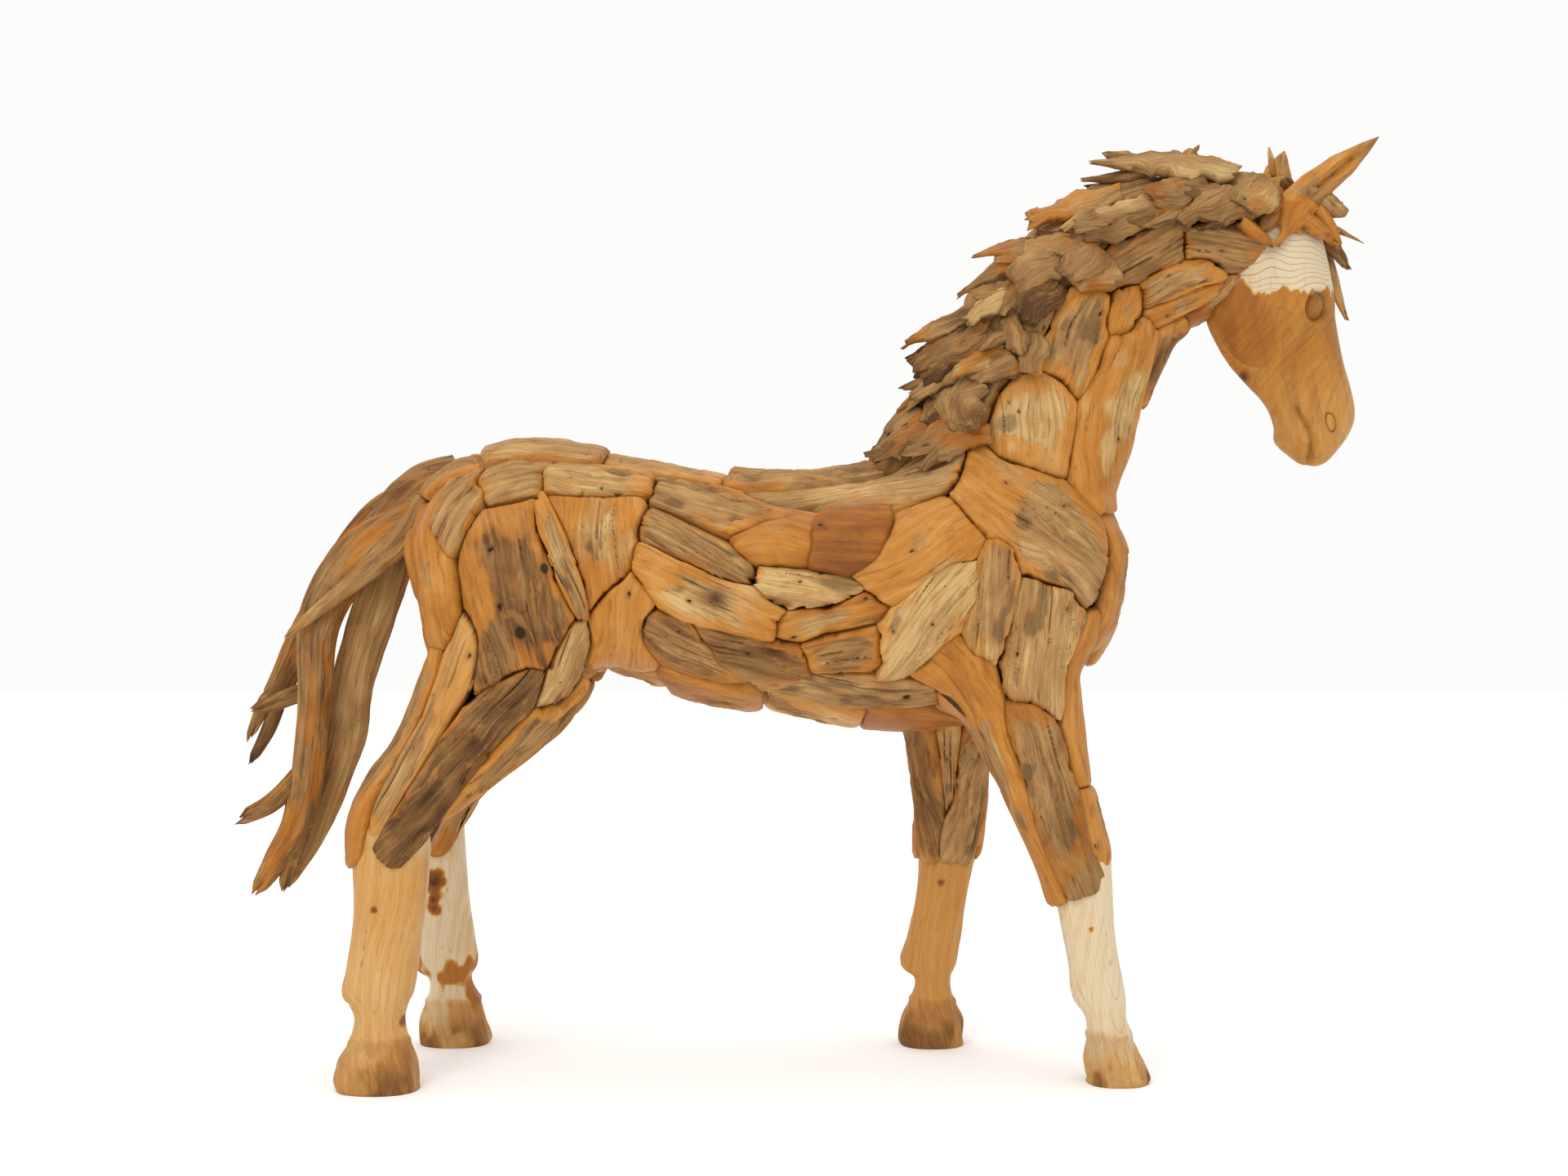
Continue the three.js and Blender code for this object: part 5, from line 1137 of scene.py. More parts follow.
def legSurface(name, sections, seed):
    random = np.random.default_rng(seed)
    rows = smoothRows(sections, legShape["step"])
    z, x, y, deep, wide = [rows[:, k][:, None] for k in range(5)]
    z = np.clip(z, 0, None)
    angle = turnsOf(legShape["sides"])
    outX, outY = [signedPower(side, legShape["squareness"]) for side in (np.cos(angle), np.sin(angle))]
    base = stacked(x + deep * outX, y + wide * outY, z + 0 * angle)
    normals = gridNormals(base, angle)
    coronet = legShape["coronetHeight"]
    onHoof = smoothStep(coronet + 0.012, coronet - 0.004, z + 0.012 * (smoothNoise(base * 28, seed) - 0.5))
    foot = smoothStep(0.0, 0.01, z)
    rise = 0.006 * noiseSwing(base * (16, 16, 9), seed + 1) * foot
    rise = rise + 0.0026 * noiseSwing(base * (90, 90, 10), seed + 2, 2) * foot
    rise = rise + 0.0050 * noiseSwing(base * (34, 34, 22), seed + 7, 2) * foot * smoothStep(0.24, 0.16, z)
    facets = np.abs(np.sin(angle * legShape["hoofFacets"] / 2 + seed + 1.5 * z / coronet)) ** 2
    rise = rise - 0.0050 * facets * onHoof * foot
    rise = rise + 0.0035 * hump(z, coronet, 0.006)
    # tufts behind the fetlock, drawn down like wet hair
    behind = smoothStep(-0.15, -0.9, np.cos(angle))
    atTuft = hump(z, 0.165, 0.030)
    locks = np.abs(np.sin(angle * 8 + z * 55 + seed)) ** 0.7
    rise = rise + behind * atTuft * (0.007 * locks - 0.001)
    # tendons: a shallow channel down each side of the cannon
    channel = hump(np.abs(np.sin(angle)), 0.93, 0.06) * smoothStep(-0.1, -0.5, np.cos(angle) - 0.2)
    rise = rise - 0.004 * channel * smoothStep(0.20, 0.25, z) * smoothStep(0.46, 0.40, z)
    points = base + moved(rise, normals)
    points[..., 2] = np.maximum(points[..., 2], 0)
    points[0, :, 2] = 0
    grain = stacked(z + 0 * angle, base[..., 0] + 0.02 * np.sin(11 * z), base[..., 1])
    # growth rings: tall arches on the side, straight lines on the front, where the block was cut across them
    heartX = np.interp(z, [0, 0.5], [x[0, 0], x[len(x) // 2, 0]])
    fromHeart = base[..., 0] - heartX - 0.012 * np.sin(7 * z + seed)
    slow = layeredNoise(base * (14, 14, 5), seed + 6, 2)
    rings = np.sqrt(fromHeart ** 2 + ((z - 0.30) * 0.11) ** 2) / 0.0075 + 1.6 * slow + 0.5
    sand = legShape["sand"][name] + 0.20 * noiseSwing(base * (9, 9, 5), seed + 4, 2)
    stain = smoothStep(0.46, 0.62, layeredNoise(base * (20, 20, 12), seed + 9))
    low = smoothStep(0.075, 0.02, z)
    sand = sand - onHoof * (0.04 + 0.22 * stain + 0.12 * low)
    weather = onHoof * (0.40 + 0.35 * stain * low) + 0 * sand
    tone = 0.62 + 0.5 * (slow - 0.5) - 0.30 * stain * low
    crack = 0 * sand
    scorch = 0.22 * onHoof * stain * low
    # splits down the leg: sunk 3 mm below and painted dark as shade inside them
    for number in range(3):
        middleAngle, middleZ = random.uniform(0, 2 * np.pi), random.uniform(0.05, 0.42)
        apart = (angle - middleAngle + np.pi) % (2 * np.pi) - np.pi
        apart = apart + (smoothNoise(stacked(z * 60, 0 * z, number + 0.5), seed + 30) - 0.5) * 0.3
        taper = np.clip(1 - ((z - middleZ) / random.uniform(0.03, 0.09)) ** 2, 0, 1) ** 0.5
        split = np.clip(1 - np.abs(apart) / (0.035 * taper + 1e-6), 0, 1) * (taper > 0.05)
        crack = np.maximum(crack, split * 0.6)
    points = points - (0.003 * crack)[..., None] * normals
    for middleX, middleZ, radius in legShape["knots"][name]:
        away = np.hypot(base[..., 0] - middleX, z - middleZ) / radius
        away = away + 1.1 * noiseSwing(base * 60, seed + 11, 2)
        near = (normals[..., 1] < 0.2) * smoothStep(1.15, 0.85, away)
        sand = sand - (sand - 0.16) * near
        scorch = np.maximum(scorch, near * hump(away, 0, 0.42))
        rings = rings * (1 - near) + (4 * away + 0.5) * near
    if name == "left_hind_leg":
        patches = smoothStep(0.50, 0.58, layeredNoise(base * (17, 17, 12), seed + 8))
        patches = patches * smoothStep(0.21, 0.18, z)
        pastern = np.hypot((base[..., 0] + 0.706) / 0.040, (z - 0.157) / 0.030)
        pastern = pastern + 2.2 * noiseSwing(base * 30, seed + 10, 2)
        patches = np.maximum(patches, smoothStep(1.05, 0.85, pastern))
        sand = sand - 0.62 * patches * (0.45 + 0.55 * smoothStep(0.07, 0.10, z))
    if name == "right_hind_leg":
        sand = sand + 0.24 * smoothStep(0.40, 0.46, z) * smoothStep(0.35, 0.60, slow)
    return tubeSurface(points, random, grain, sand, tone, weather, crack, scorch, rings)


for number, (name, sections) in enumerate(legShape["legs"].items()):
    addSurface(name, legSurface(name, sections, 300 + number * 20))
print("the lower legs are carved")


# The head, one carved block

headShape = {
    "step": 0.0032,
    "sides": 220,
    "sections": [  # height, x of the jaw side, x of the forehead side, half width, how narrow the jaw side is
        (1.1535, 0.948, 0.979, 0.011, 1), (1.163, 0.934, 0.996, 0.028, 1), (1.197, 0.896, 1.026, 0.051, 1),
        (1.233, 0.892, 1.046, 0.058, 0.95), (1.275, 0.872, 1.047, 0.057, 0.8),
        (1.353, 0.804, 1.026, 0.064, 0.65), (1.431, 0.764, 1.010, 0.084, 0.8),
        (1.475, 0.771, 1.007, 0.091, 0.85), (1.565, 0.796, 0.990, 0.086, 0.95),
        (1.615, 0.812, 0.972, 0.078, 1), (1.653, 0.830, 0.948, 0.064, 1), (1.675, 0.860, 0.924, 0.040, 1),
    ],
    "cheek": (0.824, 1.425, 0.088, 0.044, -62),  # middle x and z, half length, half width, tilt
    "eye": (0.957, 1.452, 0.0235, 0.0170, 78),
    "nostril": (0.991, 1.233, 0.019, 0.0095, 108),
    "mouth": [(0.926, 1.262), (0.943, 1.228), (0.957, 1.196), (0.952, 1.158)],
    "blazeHeight": 1.475,
    "jawKnot": (0.832, 1.322),
    "brow": (0.944, 1.487),
    "ridge": [(0.950, 1.415), (0.985, 1.32), (1.005, 1.25)],  # of bone, from under the eye to the nose
    "hollow": [(0.905, 1.42), (0.925, 1.34), (0.945, 1.29)],  # behind the ridge
    "stainLine": [(0.925, 1.37), (0.945, 1.42)],
}


def ellipseShare(x, z, place):
    middleX, middleZ, long, wide, tilt = place
    turn = math.radians(tilt)
    along = (x - middleX) * math.cos(turn) + (z - middleZ) * math.sin(turn)
    across = -(x - middleX) * math.sin(turn) + (z - middleZ) * math.cos(turn)
    return np.sqrt((along / long) ** 2 + (across / wide) ** 2)


def distanceToLine(x, z, line):
    nearest = np.full(x.shape, 9.0)
    for (ax, az), (bx, bz) in zip(line[:-1], line[1:]):
        t = np.clip(((x - ax) * (bx - ax) + (z - az) * (bz - az)) / ((bx - ax) ** 2 + (bz - az) ** 2), 0, 1)
        nearest = np.minimum(nearest, np.hypot(x - ax - t * (bx - ax), z - az - t * (bz - az)))
    return nearest


def headSurface():
    random = np.random.default_rng(500)
    rows = smoothRows(headShape["sections"], headShape["step"])
    z, jaw, front, wide, narrow = [rows[:, k][:, None] for k in range(5)]
    angle = turnsOf(headShape["sides"])
    middle = 0.55 * front + 0.45 * jaw
    deep = np.where(np.cos(angle) > 0, front - middle, middle - jaw)
    thin = np.where(np.cos(angle) > 0, 1, 1 - (1 - narrow) * np.abs(np.cos(angle)))
    base = stacked(middle + deep * np.cos(angle), wide * thin * np.sin(angle), z + 0 * angle)
    normals = gridNormals(base, angle)
    x, zz = base[..., 0], base[..., 2]
    onSide = smoothStep(0.25, 0.6, np.abs(normals[..., 1]))
    jags = noiseSwing(stacked(x * 105, 0 * x, base[..., 1] * 70), 523, 2)
    border = headShape["blazeHeight"] + 0.036 * noiseSwing(stacked(x * 38, 0 * x, base[..., 1] * 30), 510, 2)
    border = border + 0.42 * np.clip(0.862 - x, 0, 1) + 0.026 * jags
    blaze = smoothStep(-0.002, 0.002, zz - border)
    rise = 0.005 * noiseSwing(base * (13, 13, 9), 501)
    rise = rise + 0.0008 * (1 - blaze) * noiseSwing(base * (120, 120, 22), 503, 2)
    # the cheek, a raised plate with a groove round it
    cheek = ellipseShare(x, zz, headShape["cheek"])
    cheekX, cheekZ = headShape["cheek"][:2]
    under = onSide * smoothStep(-0.02, 0.02, (x - cheekX) * 0.5 - (zz - cheekZ) + 0.01)
    rise = rise + onSide * 0.0065 * smoothStep(1.12, 0.80, cheek) - under * 0.0036 * hump(cheek, 1.07, 0.055)
    # the eye: a ball in a socket, with a thick rim and fine creases round it
    eye = ellipseShare(x, zz, headShape["eye"])
    ball = np.sqrt(np.clip(1 - eye ** 2, 0, 1))
    socket = 0.015 * ball - 0.009 * smoothStep(1.45, 1.02, eye)
    rise = rise + onSide * (socket + 0.0050 * hump(eye, 1.60, 0.28))
    for place in (1.25, 1.95, 2.3):
        rise = rise - onSide * 0.0010 * hump(eye, place, 0.06)
    browX, browZ = headShape["brow"]
    brow = np.exp(-(((x - browX) / 0.05) ** 2 + ((zz - browZ) / 0.016) ** 2))
    rise = rise + onSide * 0.006 * brow
    # a bony ridge from under the eye to the nose, and the hollow behind it
    ridge = distanceToLine(x, zz, headShape["ridge"])
    hollow = distanceToLine(x, zz, headShape["hollow"])
    rise = rise + onSide * (0.004 * hump(ridge, 0, 0.018) - 0.0045 * hump(hollow, 0, 0.016))
    # nostril: an engraved ring; mouth: a groove that opens into the notch between the lips
    nostril = ellipseShare(x, zz, headShape["nostril"])
    rise = rise - onSide * (0.0056 * hump(nostril, 1.0, 0.18) + 0.0026 * smoothStep(1.0, 0.5, nostril))
    line = distanceToLine(x, zz, headShape["mouth"])
    mouthWide = 0.0035 + 0.004 * smoothStep(1.25, 1.16, zz)
    rise = rise - (0.3 + 0.7 * onSide) * (0.008 * hump(line, 0, mouthWide) + 0.004 * hump(line, 0, 0.014))
    points = base + moved(rise, normals)

    sand = 0.47 + 0.10 * noiseSwing(base * (12, 12, 6), 512, 2)
    sand = sand - 0.14 * smoothStep(1.12, 0.85, cheek) * onSide
    sand = sand + 0.16 * smoothStep(1.40, 1.22, zz) + 0.10 * smoothStep(0.99, 1.03, x)
    sand = sand * (1 - blaze) + (1.04 + 0.10 * noiseSwing(base * 26, 515, 2)) * blaze
    # growth rings: wavy level lines on the blaze, and long ovals down the face
    wander = layeredNoise(base * (20, 20, 14), 519, 2)
    sway = noiseSwing(base * (9, 9, 12), 525, 2)
    rings = blaze * ((zz + 0.075 * sway + 0.012 * (wander - 0.5) + 0.004 * np.sin(x * 85)) / 0.0125)
    oval = np.hypot((x - 0.93) * 1.0 + 0.25 * (zz - 1.3), (zz - 1.30) * 0.22)
    rings = rings + (1 - blaze) * ((oval + 0.020 * (wander - 0.5)) / 0.011 + 0.5)
    # painted shade in the grooves round the cheek, along the mouth, round the nostril and round the eye
    # socket, and a dark ring painted on the eyeball
    crack = 0.45 * under * hump(cheek, 1.07, 0.030) * layeredNoise(base * 30, 517, 2)
    crack = np.maximum(crack, 0.55 * hump(line, 0, 0.0022))
    crack = np.maximum(crack, 0.70 * onSide * hump(nostril, 1.0, 0.13))
    crack = np.maximum(crack, 0.70 * onSide * hump(eye, 1.12, 0.10))
    crack = np.maximum(crack, 0.40 * onSide * hump(eye, 0.55, 0.07))
    knotX, knotZ = headShape["jawKnot"]
    scorch = np.exp(-(((x - knotX) / 0.010) ** 2 + ((zz - knotZ) / 0.014) ** 2))
    scorch = np.maximum(scorch, 0.40 * onSide * smoothStep(1.05, 0.8, eye))
    # brown stains run down the face with the grain
    runs = layeredNoise(stacked(x * 46 + 9 * (zz - 1.3), zz * 7, base[..., 1] * 20), 521)
    scorch = np.maximum(scorch, 0.20 * smoothStep(0.55, 0.72, runs) * (1 - blaze))
    scorch = np.maximum(scorch, 0.28 * hump(distanceToLine(x, zz, headShape["stainLine"]), 0, 0.012))
    weather = 0 * x
    tone = 0.7 + 0 * x
    bend = 0.035 * np.sin(zz * 16)
    grain = stacked(zz + 0.35 * x, x - 0.35 * zz + bend, base[..., 1])
    return tubeSurface(points, random, grain, sand, tone, weather, crack, scorch, rings)


addSurface("head", headSurface())
print("the head is carved")


# Splinters and branches

splinterShape = {"step": 0.0045, "leastRows": 14, "sides": 30, "bow": 0.06}


def splinterSurface(root, tip, wide, thick, facing, style, random):
    # a slat of driftwood: its outline wanders, its faces are grooved and both its ends are broken off ragged
    seed = int(random.integers(1, 10000))
    length = np.linalg.norm(tip - root)
    rows = max(splinterShape["leastRows"], int(length / splinterShape["step"]))
    t = np.linspace(0, 1, rows)[:, None]
    far = t * length
    bow = splinterShape["bow"] * length * random.uniform(-1, 1)
    spine = root + t * (tip - root)
    along = unit(tip - root)
    across = unit(np.cross(facing, along))
    out = np.cross(along, across)
    spine = spine + bow * np.sin(np.pi * t) * across + 0.25 * abs(bow) * np.sin(np.pi * t) * out
    slender = smoothStep(1.6, 3.5, length / wide)
    point = style.get("point", random.uniform(0.05, 0.35) + 0.40 * float(slender))
    profile = (0.84 + 0.16 * np.sin(np.pi * np.clip(t * 1.15, 0, 1))) * (1 - point * smoothStep(0.40, 1.0, t))
    profile = profile * (0.72 + 0.28 * smoothStep(0.0, 0.16, t))
    angle = turnsOf(splinterShape["sides"])
    c, s = signedPower(np.cos(angle), 0.75), signedPower(np.sin(angle), 0.62)
    face = np.sign(s) * 5.0
    edge = 1.24 * noiseSwing(stacked(far * 30, 0 * c, np.sign(c) * 3.0), seed, 4)
    half = 0.5 * wide * (profile + edge * (0.3 + 0.7 * profile))
    flat = 0.5 * thick * (0.45 + 0.55 * profile) * (1 - 0.55 * smoothStep(0.8, 1.0, t))
    v = half * c
    flow = 0.5 * wide * c + 0.7 * wide * noiseSwing(stacked(far * 14, v * 14, face), seed + 6, 2)
    groove = noiseSwing(stacked(far * 8, flow * 130, face), seed + 1)
    lump = noiseSwing(stacked(far * 16, v * 26, face), seed + 2, 2)
    w = flat * s + signedPower(s, 0.5) * (0.0062 * groove + 0.010 * lump) * min(1, wide / 0.03)
    # the broken end: the last rows are stretched by a jagged amount that depends on how far across a point is
    jag = noiseSwing(stacked(v * 110, w * 60, 0 * v + 2.5), seed + 3, 2) * 2
    stretch = smoothStep(0.66, 1.0, t) * jag * min(0.85 * wide, 0.24 * length)
    startJag = smoothStep(0.2, 0.0, t) * jag * min(0.35 * wide, 0.1 * length)
    points = spine[:, None] + moved(v, across) + moved(w, out) + moved(stretch + startJag, along)
    tone = style["tone"] + 0.84 * noiseSwing(stacked(far * 11, v * 20, 0 * v), seed + 4, 2)
    sand = np.full(v.shape, style["sand"])
    fresh = layeredNoise(stacked(far * 13, v * 24, 0 * v), seed + 5)
    weather = smoothStep(-0.06, 0.06, style["weather"] - fresh * 1.15 - 0.05)
    # painted shade in the deep grooves and on the slat's narrow edges
    crack = np.clip(-groove * 5.5 - 1.0, 0, 1) * 0.7 + 0.30 * (np.abs(s) < 0.35)
    # the broken end is darker where it is set back
    scorch = 0.35 * smoothStep(0.93, 1.0, t) * (jag < 0) + 0 * v
    return tubeSurface(points, random, stacked(far + 0 * v, flow, w), sand, tone, weather, crack, scorch)


mane = {
    "tipLift": 0.030,
    "widen": 1.14,
    # root x, y, z, tip x, y, z, width, thickness, driftwood colour, sanded colour, share of driftwood
    "right_mane_upper": [
        (0.43, -0.09, 1.584, 0.316, -0.09, 1.544, 0.033, 0.014, 0.25, 0.35, 0.45),
        (0.426, -0.095, 1.557, 0.268, -0.095, 1.463, 0.025, 0.013, 0.45, 0.4, 0.7),
        (0.465, -0.115, 1.554, 0.375, -0.115, 1.495, 0.073, 0.031, 0.6, 0.5, 0.95),
        (0.54, -0.125, 1.552, 0.487, -0.125, 1.488, 0.084, 0.035, 0.6, 0.35, 0.75),
        (0.539, -0.095, 1.563, 0.426, -0.095, 1.592, 0.039, 0.016, 0.15, 0.25, 0.95),
        (0.59, -0.06, 1.651, 0.416, -0.06, 1.617, 0.059, 0.025, 0.55, 0.5, 0.5),
        (0.667, -0.1, 1.644, 0.501, -0.1, 1.607, 0.043, 0.018, 0.75, 0.6, 1.0),
        (0.643, -0.03, 1.689, 0.535, -0.03, 1.679, 0.035, 0.015, 0.5, 0.4, 0.95),
        (0.815, -0.04, 1.690, 0.57, -0.04, 1.736, 0.076, 0.030, 0.55, 0.5, 1.0),
        (0.711, -0.01, 1.715, 0.736, -0.01, 1.763, 0.053, 0.022, 0.55, 0.5, 1.0),
        (0.77, -0.1, 1.676, 0.635, -0.1, 1.594, 0.035, 0.015, 0.6, 0.5, 1.0),
        (0.777, -0.11, 1.651, 0.756, -0.11, 1.605, 0.043, 0.018, 0.5, 0.45, 1.0),
        (0.854, -0.08, 1.701, 0.806, -0.08, 1.63, 0.074, 0.031, 0.6, 0.45, 0.9),
        (0.883, -0.02, 1.7, 0.88, -0.02, 1.763, 0.01, 0.013, 0.75, 0.5, 0.9),
        (0.86, -0.105, 1.65, 0.752, -0.105, 1.603, 0.035, 0.015, 0.4, 0.3, 0.6),
        (0.95, -0.04, 1.704, 0.879, -0.04, 1.662, 0.043, 0.018, 0.4, 0.4, 0.8),
        (0.459, -0.14, 1.495, 0.392, -0.14, 1.425, 0.073, 0.031, 0.2, 0.3, 0.95),
        (0.810, -0.085, 1.655, 0.690, -0.095, 1.600, 0.070, 0.026, 0.45, 0.45, 0.85),
        (0.745, -0.070, 1.670, 0.640, -0.080, 1.640, 0.060, 0.024, 0.35, 0.35, 0.70),
        (0.900, -0.075, 1.665, 0.820, -0.090, 1.640, 0.050, 0.022, 0.40, 0.30, 0.45),
    ],
    "right_mane_lower": [
        (0.374, -0.125, 1.491, 0.3, -0.125, 1.421, 0.055, 0.023, 0.8, 0.6, 1.0),
        (0.304, -0.08, 1.442, 0.176, -0.08, 1.377, 0.04, 0.017, 0.35, 0.35, 0.75),
        (0.325, -0.11, 1.416, 0.205, -0.11, 1.32, 0.08, 0.034, 0.15, 0.3, 0.9),
        (0.367, -0.1, 1.388, 0.172, -0.1, 1.292, 0.033, 0.014, 0.3, 0.4, 0.8),
        (0.356, -0.15, 1.372, 0.263, -0.15, 1.322, 0.04, 0.017, 0.65, 0.5, 0.8),
        (0.359, -0.15, 1.436, 0.388, -0.15, 1.354, 0.048, 0.02, 0.5, 0.45, 0.9),
        (0.359, -0.15, 1.404, 0.313, -0.15, 1.363, 0.026, 0.013, 0.5, 0.45, 0.9),
        (0.409, -0.15, 1.401, 0.406, -0.15, 1.316, 0.048, 0.02, 0.55, 0.5, 0.75),
        (0.312, -0.13, 1.368, 0.187, -0.13, 1.272, 0.048, 0.02, 0.5, 0.4, 0.95),
        (0.381, -0.14, 1.34, 0.299, -0.14, 1.308, 0.055, 0.023, 0.4, 0.4, 0.9),
        (0.263, -0.15, 1.313, 0.275, -0.15, 1.2, 0.105, 0.044, 0.45, 0.4, 0.95),
        (0.248, -0.135, 1.282, 0.217, -0.135, 1.227, 0.062, 0.026, 0.4, 0.4, 0.9),
        (0.255, -0.12, 1.225, 0.134, -0.12, 1.161, 0.057, 0.024, 0.3, 0.3, 0.7),
        (0.191, -0.09, 1.269, 0.151, -0.09, 1.205, 0.044, 0.018, 0.5, 0.4, 0.9),
        (0.333, -0.15, 1.2, 0.183, -0.15, 1.173, 0.062, 0.026, 0.35, 0.35, 0.7),
        (0.173, -0.06, 1.162, 0.117, -0.06, 1.143, 0.024, 0.013, 0.25, 0.3, 0.9),
    ],
    "leftShift": (0.014, -0.010),
    "leftFrom": {  # rows that are also laid on the left
        "right_mane_upper": (1, 2, 3, 4, 6, 7, 9, 12),
        "right_mane_lower": (0, 1, 2, 4, 6, 8, 10, 12, 13),
    },
    "fillers": 26,  # small splinters under the others, on each side
    "crestX": (0.25, 0.33, 0.42, 0.58, 0.80),  # from the withers to the poll
    "crestZ": (1.17, 1.33, 1.50, 1.61, 1.66),
    "upperFrom": 0.55,
}


def maneSplinter(node, row, random, mirrored=False):
    x0, y0, z0, x1, y1, z1, wide, thick, tone, sand, weather = row
    if mirrored:
        dx, dz = mane["leftShift"]
        x0, x1, z0, z1, y0, y1 = x0 + dx, x1 + dx, z0 + dz, z1 + dz, -y0, -y1
    root, tip = np.array([[x0, y0, z0]]), np.array([[x1, y1, z1]])
    facing = skinNormal(root)
    root = root - bodyDistance(root)[:, None] * facing + 0.012 * facing
    outward = np.maximum(mane["tipLift"] - bodyDistance(tip), 0)[:, None]
    tip = tip + outward * skinNormal(tip)
    style = {"tone": tone, "sand": sand, "weather": weather}
    addSurface(node, splinterSurface(root[0], tip[0], mane["widen"] * wide, thick, facing[0], style, random))


maneRandom = np.random.default_rng(700)
for node in ("right_mane_upper", "right_mane_lower"):
    for i, row in enumerate(mane[node]):
        maneSplinter(node, row, maneRandom)
        if i in mane["leftFrom"][node]:
            maneSplinter("left_mane", row, maneRandom, True)
for number in range(mane["fillers"]):
    share = (number + 0.5) / mane["fillers"]
    crestX, crestZ = [np.interp(share, np.linspace(0, 1, 5), mane[key]) for key in ("crestX", "crestZ")]
    for side in (-1, 1):
        draw = maneRandom.uniform
        start = np.array([crestX + draw(-0.02, 0.03), side * draw(0.03, 0.09), crestZ + draw(-0.03, 0.02)])
        reach = draw(0.06, 0.11)
        lean = np.radians(draw(195, 250) - 30 * share)
        end = start + reach * np.array([math.cos(lean), side * 0.25, math.sin(lean)])
        size = (draw(0.022, 0.042), draw(0.012, 0.02))
        looks = (draw(0.1, 0.6), draw(0.2, 0.5), draw(0.6, 1.0))
        rightNode = "right_mane_upper" if share > mane["upperFrom"] else "right_mane_lower"
        maneSplinter("left_mane" if side > 0 else rightNode, (*start, *end, *size, *looks), maneRandom)
print("the mane is laid")

forelock = {
    "facing": (0.5, -0.3, 0.8),
    "splinters": [  # root, tip, width, thickness, driftwood colour, sanded colour, share of driftwood
        (0.81, -0.1, 1.611, 0.87, -0.1, 1.561, 0.069, 0.029, 0.4, 0.35, 0.25),
        (0.916, -0.06, 1.638, 1.003, -0.06, 1.573, 0.084, 0.035, 0.5, 0.4, 0.25),
        (0.961, -0.02, 1.656, 1.019, -0.02, 1.656, 0.024, 0.013, 0.6, 0.5, 0.8),
        (0.992, 0.0, 1.617, 1.064, 0.0, 1.584, 0.02, 0.013, 0.6, 0.5, 0.8),
        (0.989, 0.01, 1.583, 1.045, 0.01, 1.532, 0.026, 0.013, 0.4, 0.4, 0.9),
        (0.996, 0.02, 1.537, 1.034, 0.02, 1.446, 0.02, 0.013, 0.5, 0.5, 0.95),
        (0.884, -0.085, 1.611, 0.927, -0.085, 1.588, 0.019, 0.013, 0.5, 0.5, 0.5),
        (0.958, -0.085, 1.668, 0.958, 0.085, 1.668, 0.110, 0.040, 0.4, 0.4, 0.8),
        (0.945, -0.050, 1.672, 1.006, -0.062, 1.573, 0.072, 0.026, 0.4, 0.45, 0.3),
        (0.945, 0.020, 1.672, 1.048, 0.012, 1.532, 0.060, 0.024, 0.35, 0.4, 0.8),
        (0.955, 0.036, 1.664, 1.036, 0.024, 1.446, 0.060, 0.024, 0.45, 0.5, 0.9),
        (0.948, -0.070, 1.664, 0.878, -0.098, 1.561, 0.060, 0.024, 0.4, 0.45, 0.25),
        (0.945, 0.050, 1.668, 1.008, 0.062, 1.555, 0.060, 0.024, 0.4, 0.4, 0.8),
    ],
}
foreRandom = np.random.default_rng(800)
foreFacing = unit(np.array(forelock["facing"]))
for row in forelock["splinters"]:
    style = {"tone": row[8], "sand": row[9], "weather": row[10], "point": 0.75}
    root, tip = np.array(row[0:3]), np.array(row[3:6])
    addSurface("forelock", splinterSurface(root, tip, row[6], row[7], foreFacing, style, foreRandom))


ears = {  # root, tip, width, thickness
    "right_ear": ((0.852, -0.066, 1.599), (1.071, -0.092, 1.769), 0.062, 0.034),
    "left_ear": ((0.890, 0.062, 1.640), (0.936, 0.096, 1.780), 0.066, 0.034),
    "rows": 110,
    "sides": 72,
}


def earSurface(root, tip, wide, thick, side, random):
    # a long leaf of wood: widest below its middle, run out to a point, with a carved groove along its face
    root, tip = np.array(root), np.array(tip)
    length = np.linalg.norm(tip - root)
    t = np.linspace(0, 1, ears["rows"])[:, None]
    along = unit(tip - root)
    across = unit(np.cross((0, side, 0), along))
    out = np.cross(along, across)
    profile = np.interp(t, [0, 0.04, 0.2, 0.45, 0.7, 0.9, 1], [0.30, 0.62, 0.88, 1.0, 0.80, 0.34, 0.03])
    angle = turnsOf(ears["sides"])
    c, s = np.cos(angle), np.sin(angle)
    edge = 0.10 * noiseSwing(stacked(t * 9, 0 * c, np.sign(c) * 3.0), 811, 2)
    v = 0.5 * wide * (profile + edge * profile) * np.sign(c) * np.abs(c) ** 0.9
    w = 0.5 * thick * np.interp(t, [0, 0.2, 0.6, 1], [1, 1, 0.8, 0.08]) * np.sign(s) * np.abs(s) ** 0.8
    outer = smoothStep(0.2, 0.7, s)
    grooveAt = -0.004 + 0.010 * (t - 0.5)
    groove = hump(v, grooveAt, 0.0055) * smoothStep(0.30, 0.42, t) * smoothStep(0.92, 0.78, t)
    w = w - outer * 0.011 * groove * np.interp(t, [0, 1], [1, 0.6])
    w = w + 0.004 * noiseSwing(stacked(t * 6, v * 40, s), 815)
    points = root + (t * length)[..., None] * along + moved(v, across) + moved(w, out)
    # painted shade in the carved groove
    crack = 0.75 * groove * outer * (0.4 + 0.6 * layeredNoise(stacked(t * 30, v * 100, 0 * v), 817, 2))
    sand = 0.46 + 0.2 * noiseSwing(stacked(t * 5, v * 30, s), 819, 2)
    weather = smoothStep(0.42, 0.56, layeredNoise(stacked(t * 7, v * 30, s), 821)) * 0.85
    grain = stacked(t * length + 0 * v, v, w)
    return tubeSurface(points, random, grain, sand, 0.5 + 0 * v, weather, crack, 0 * v)


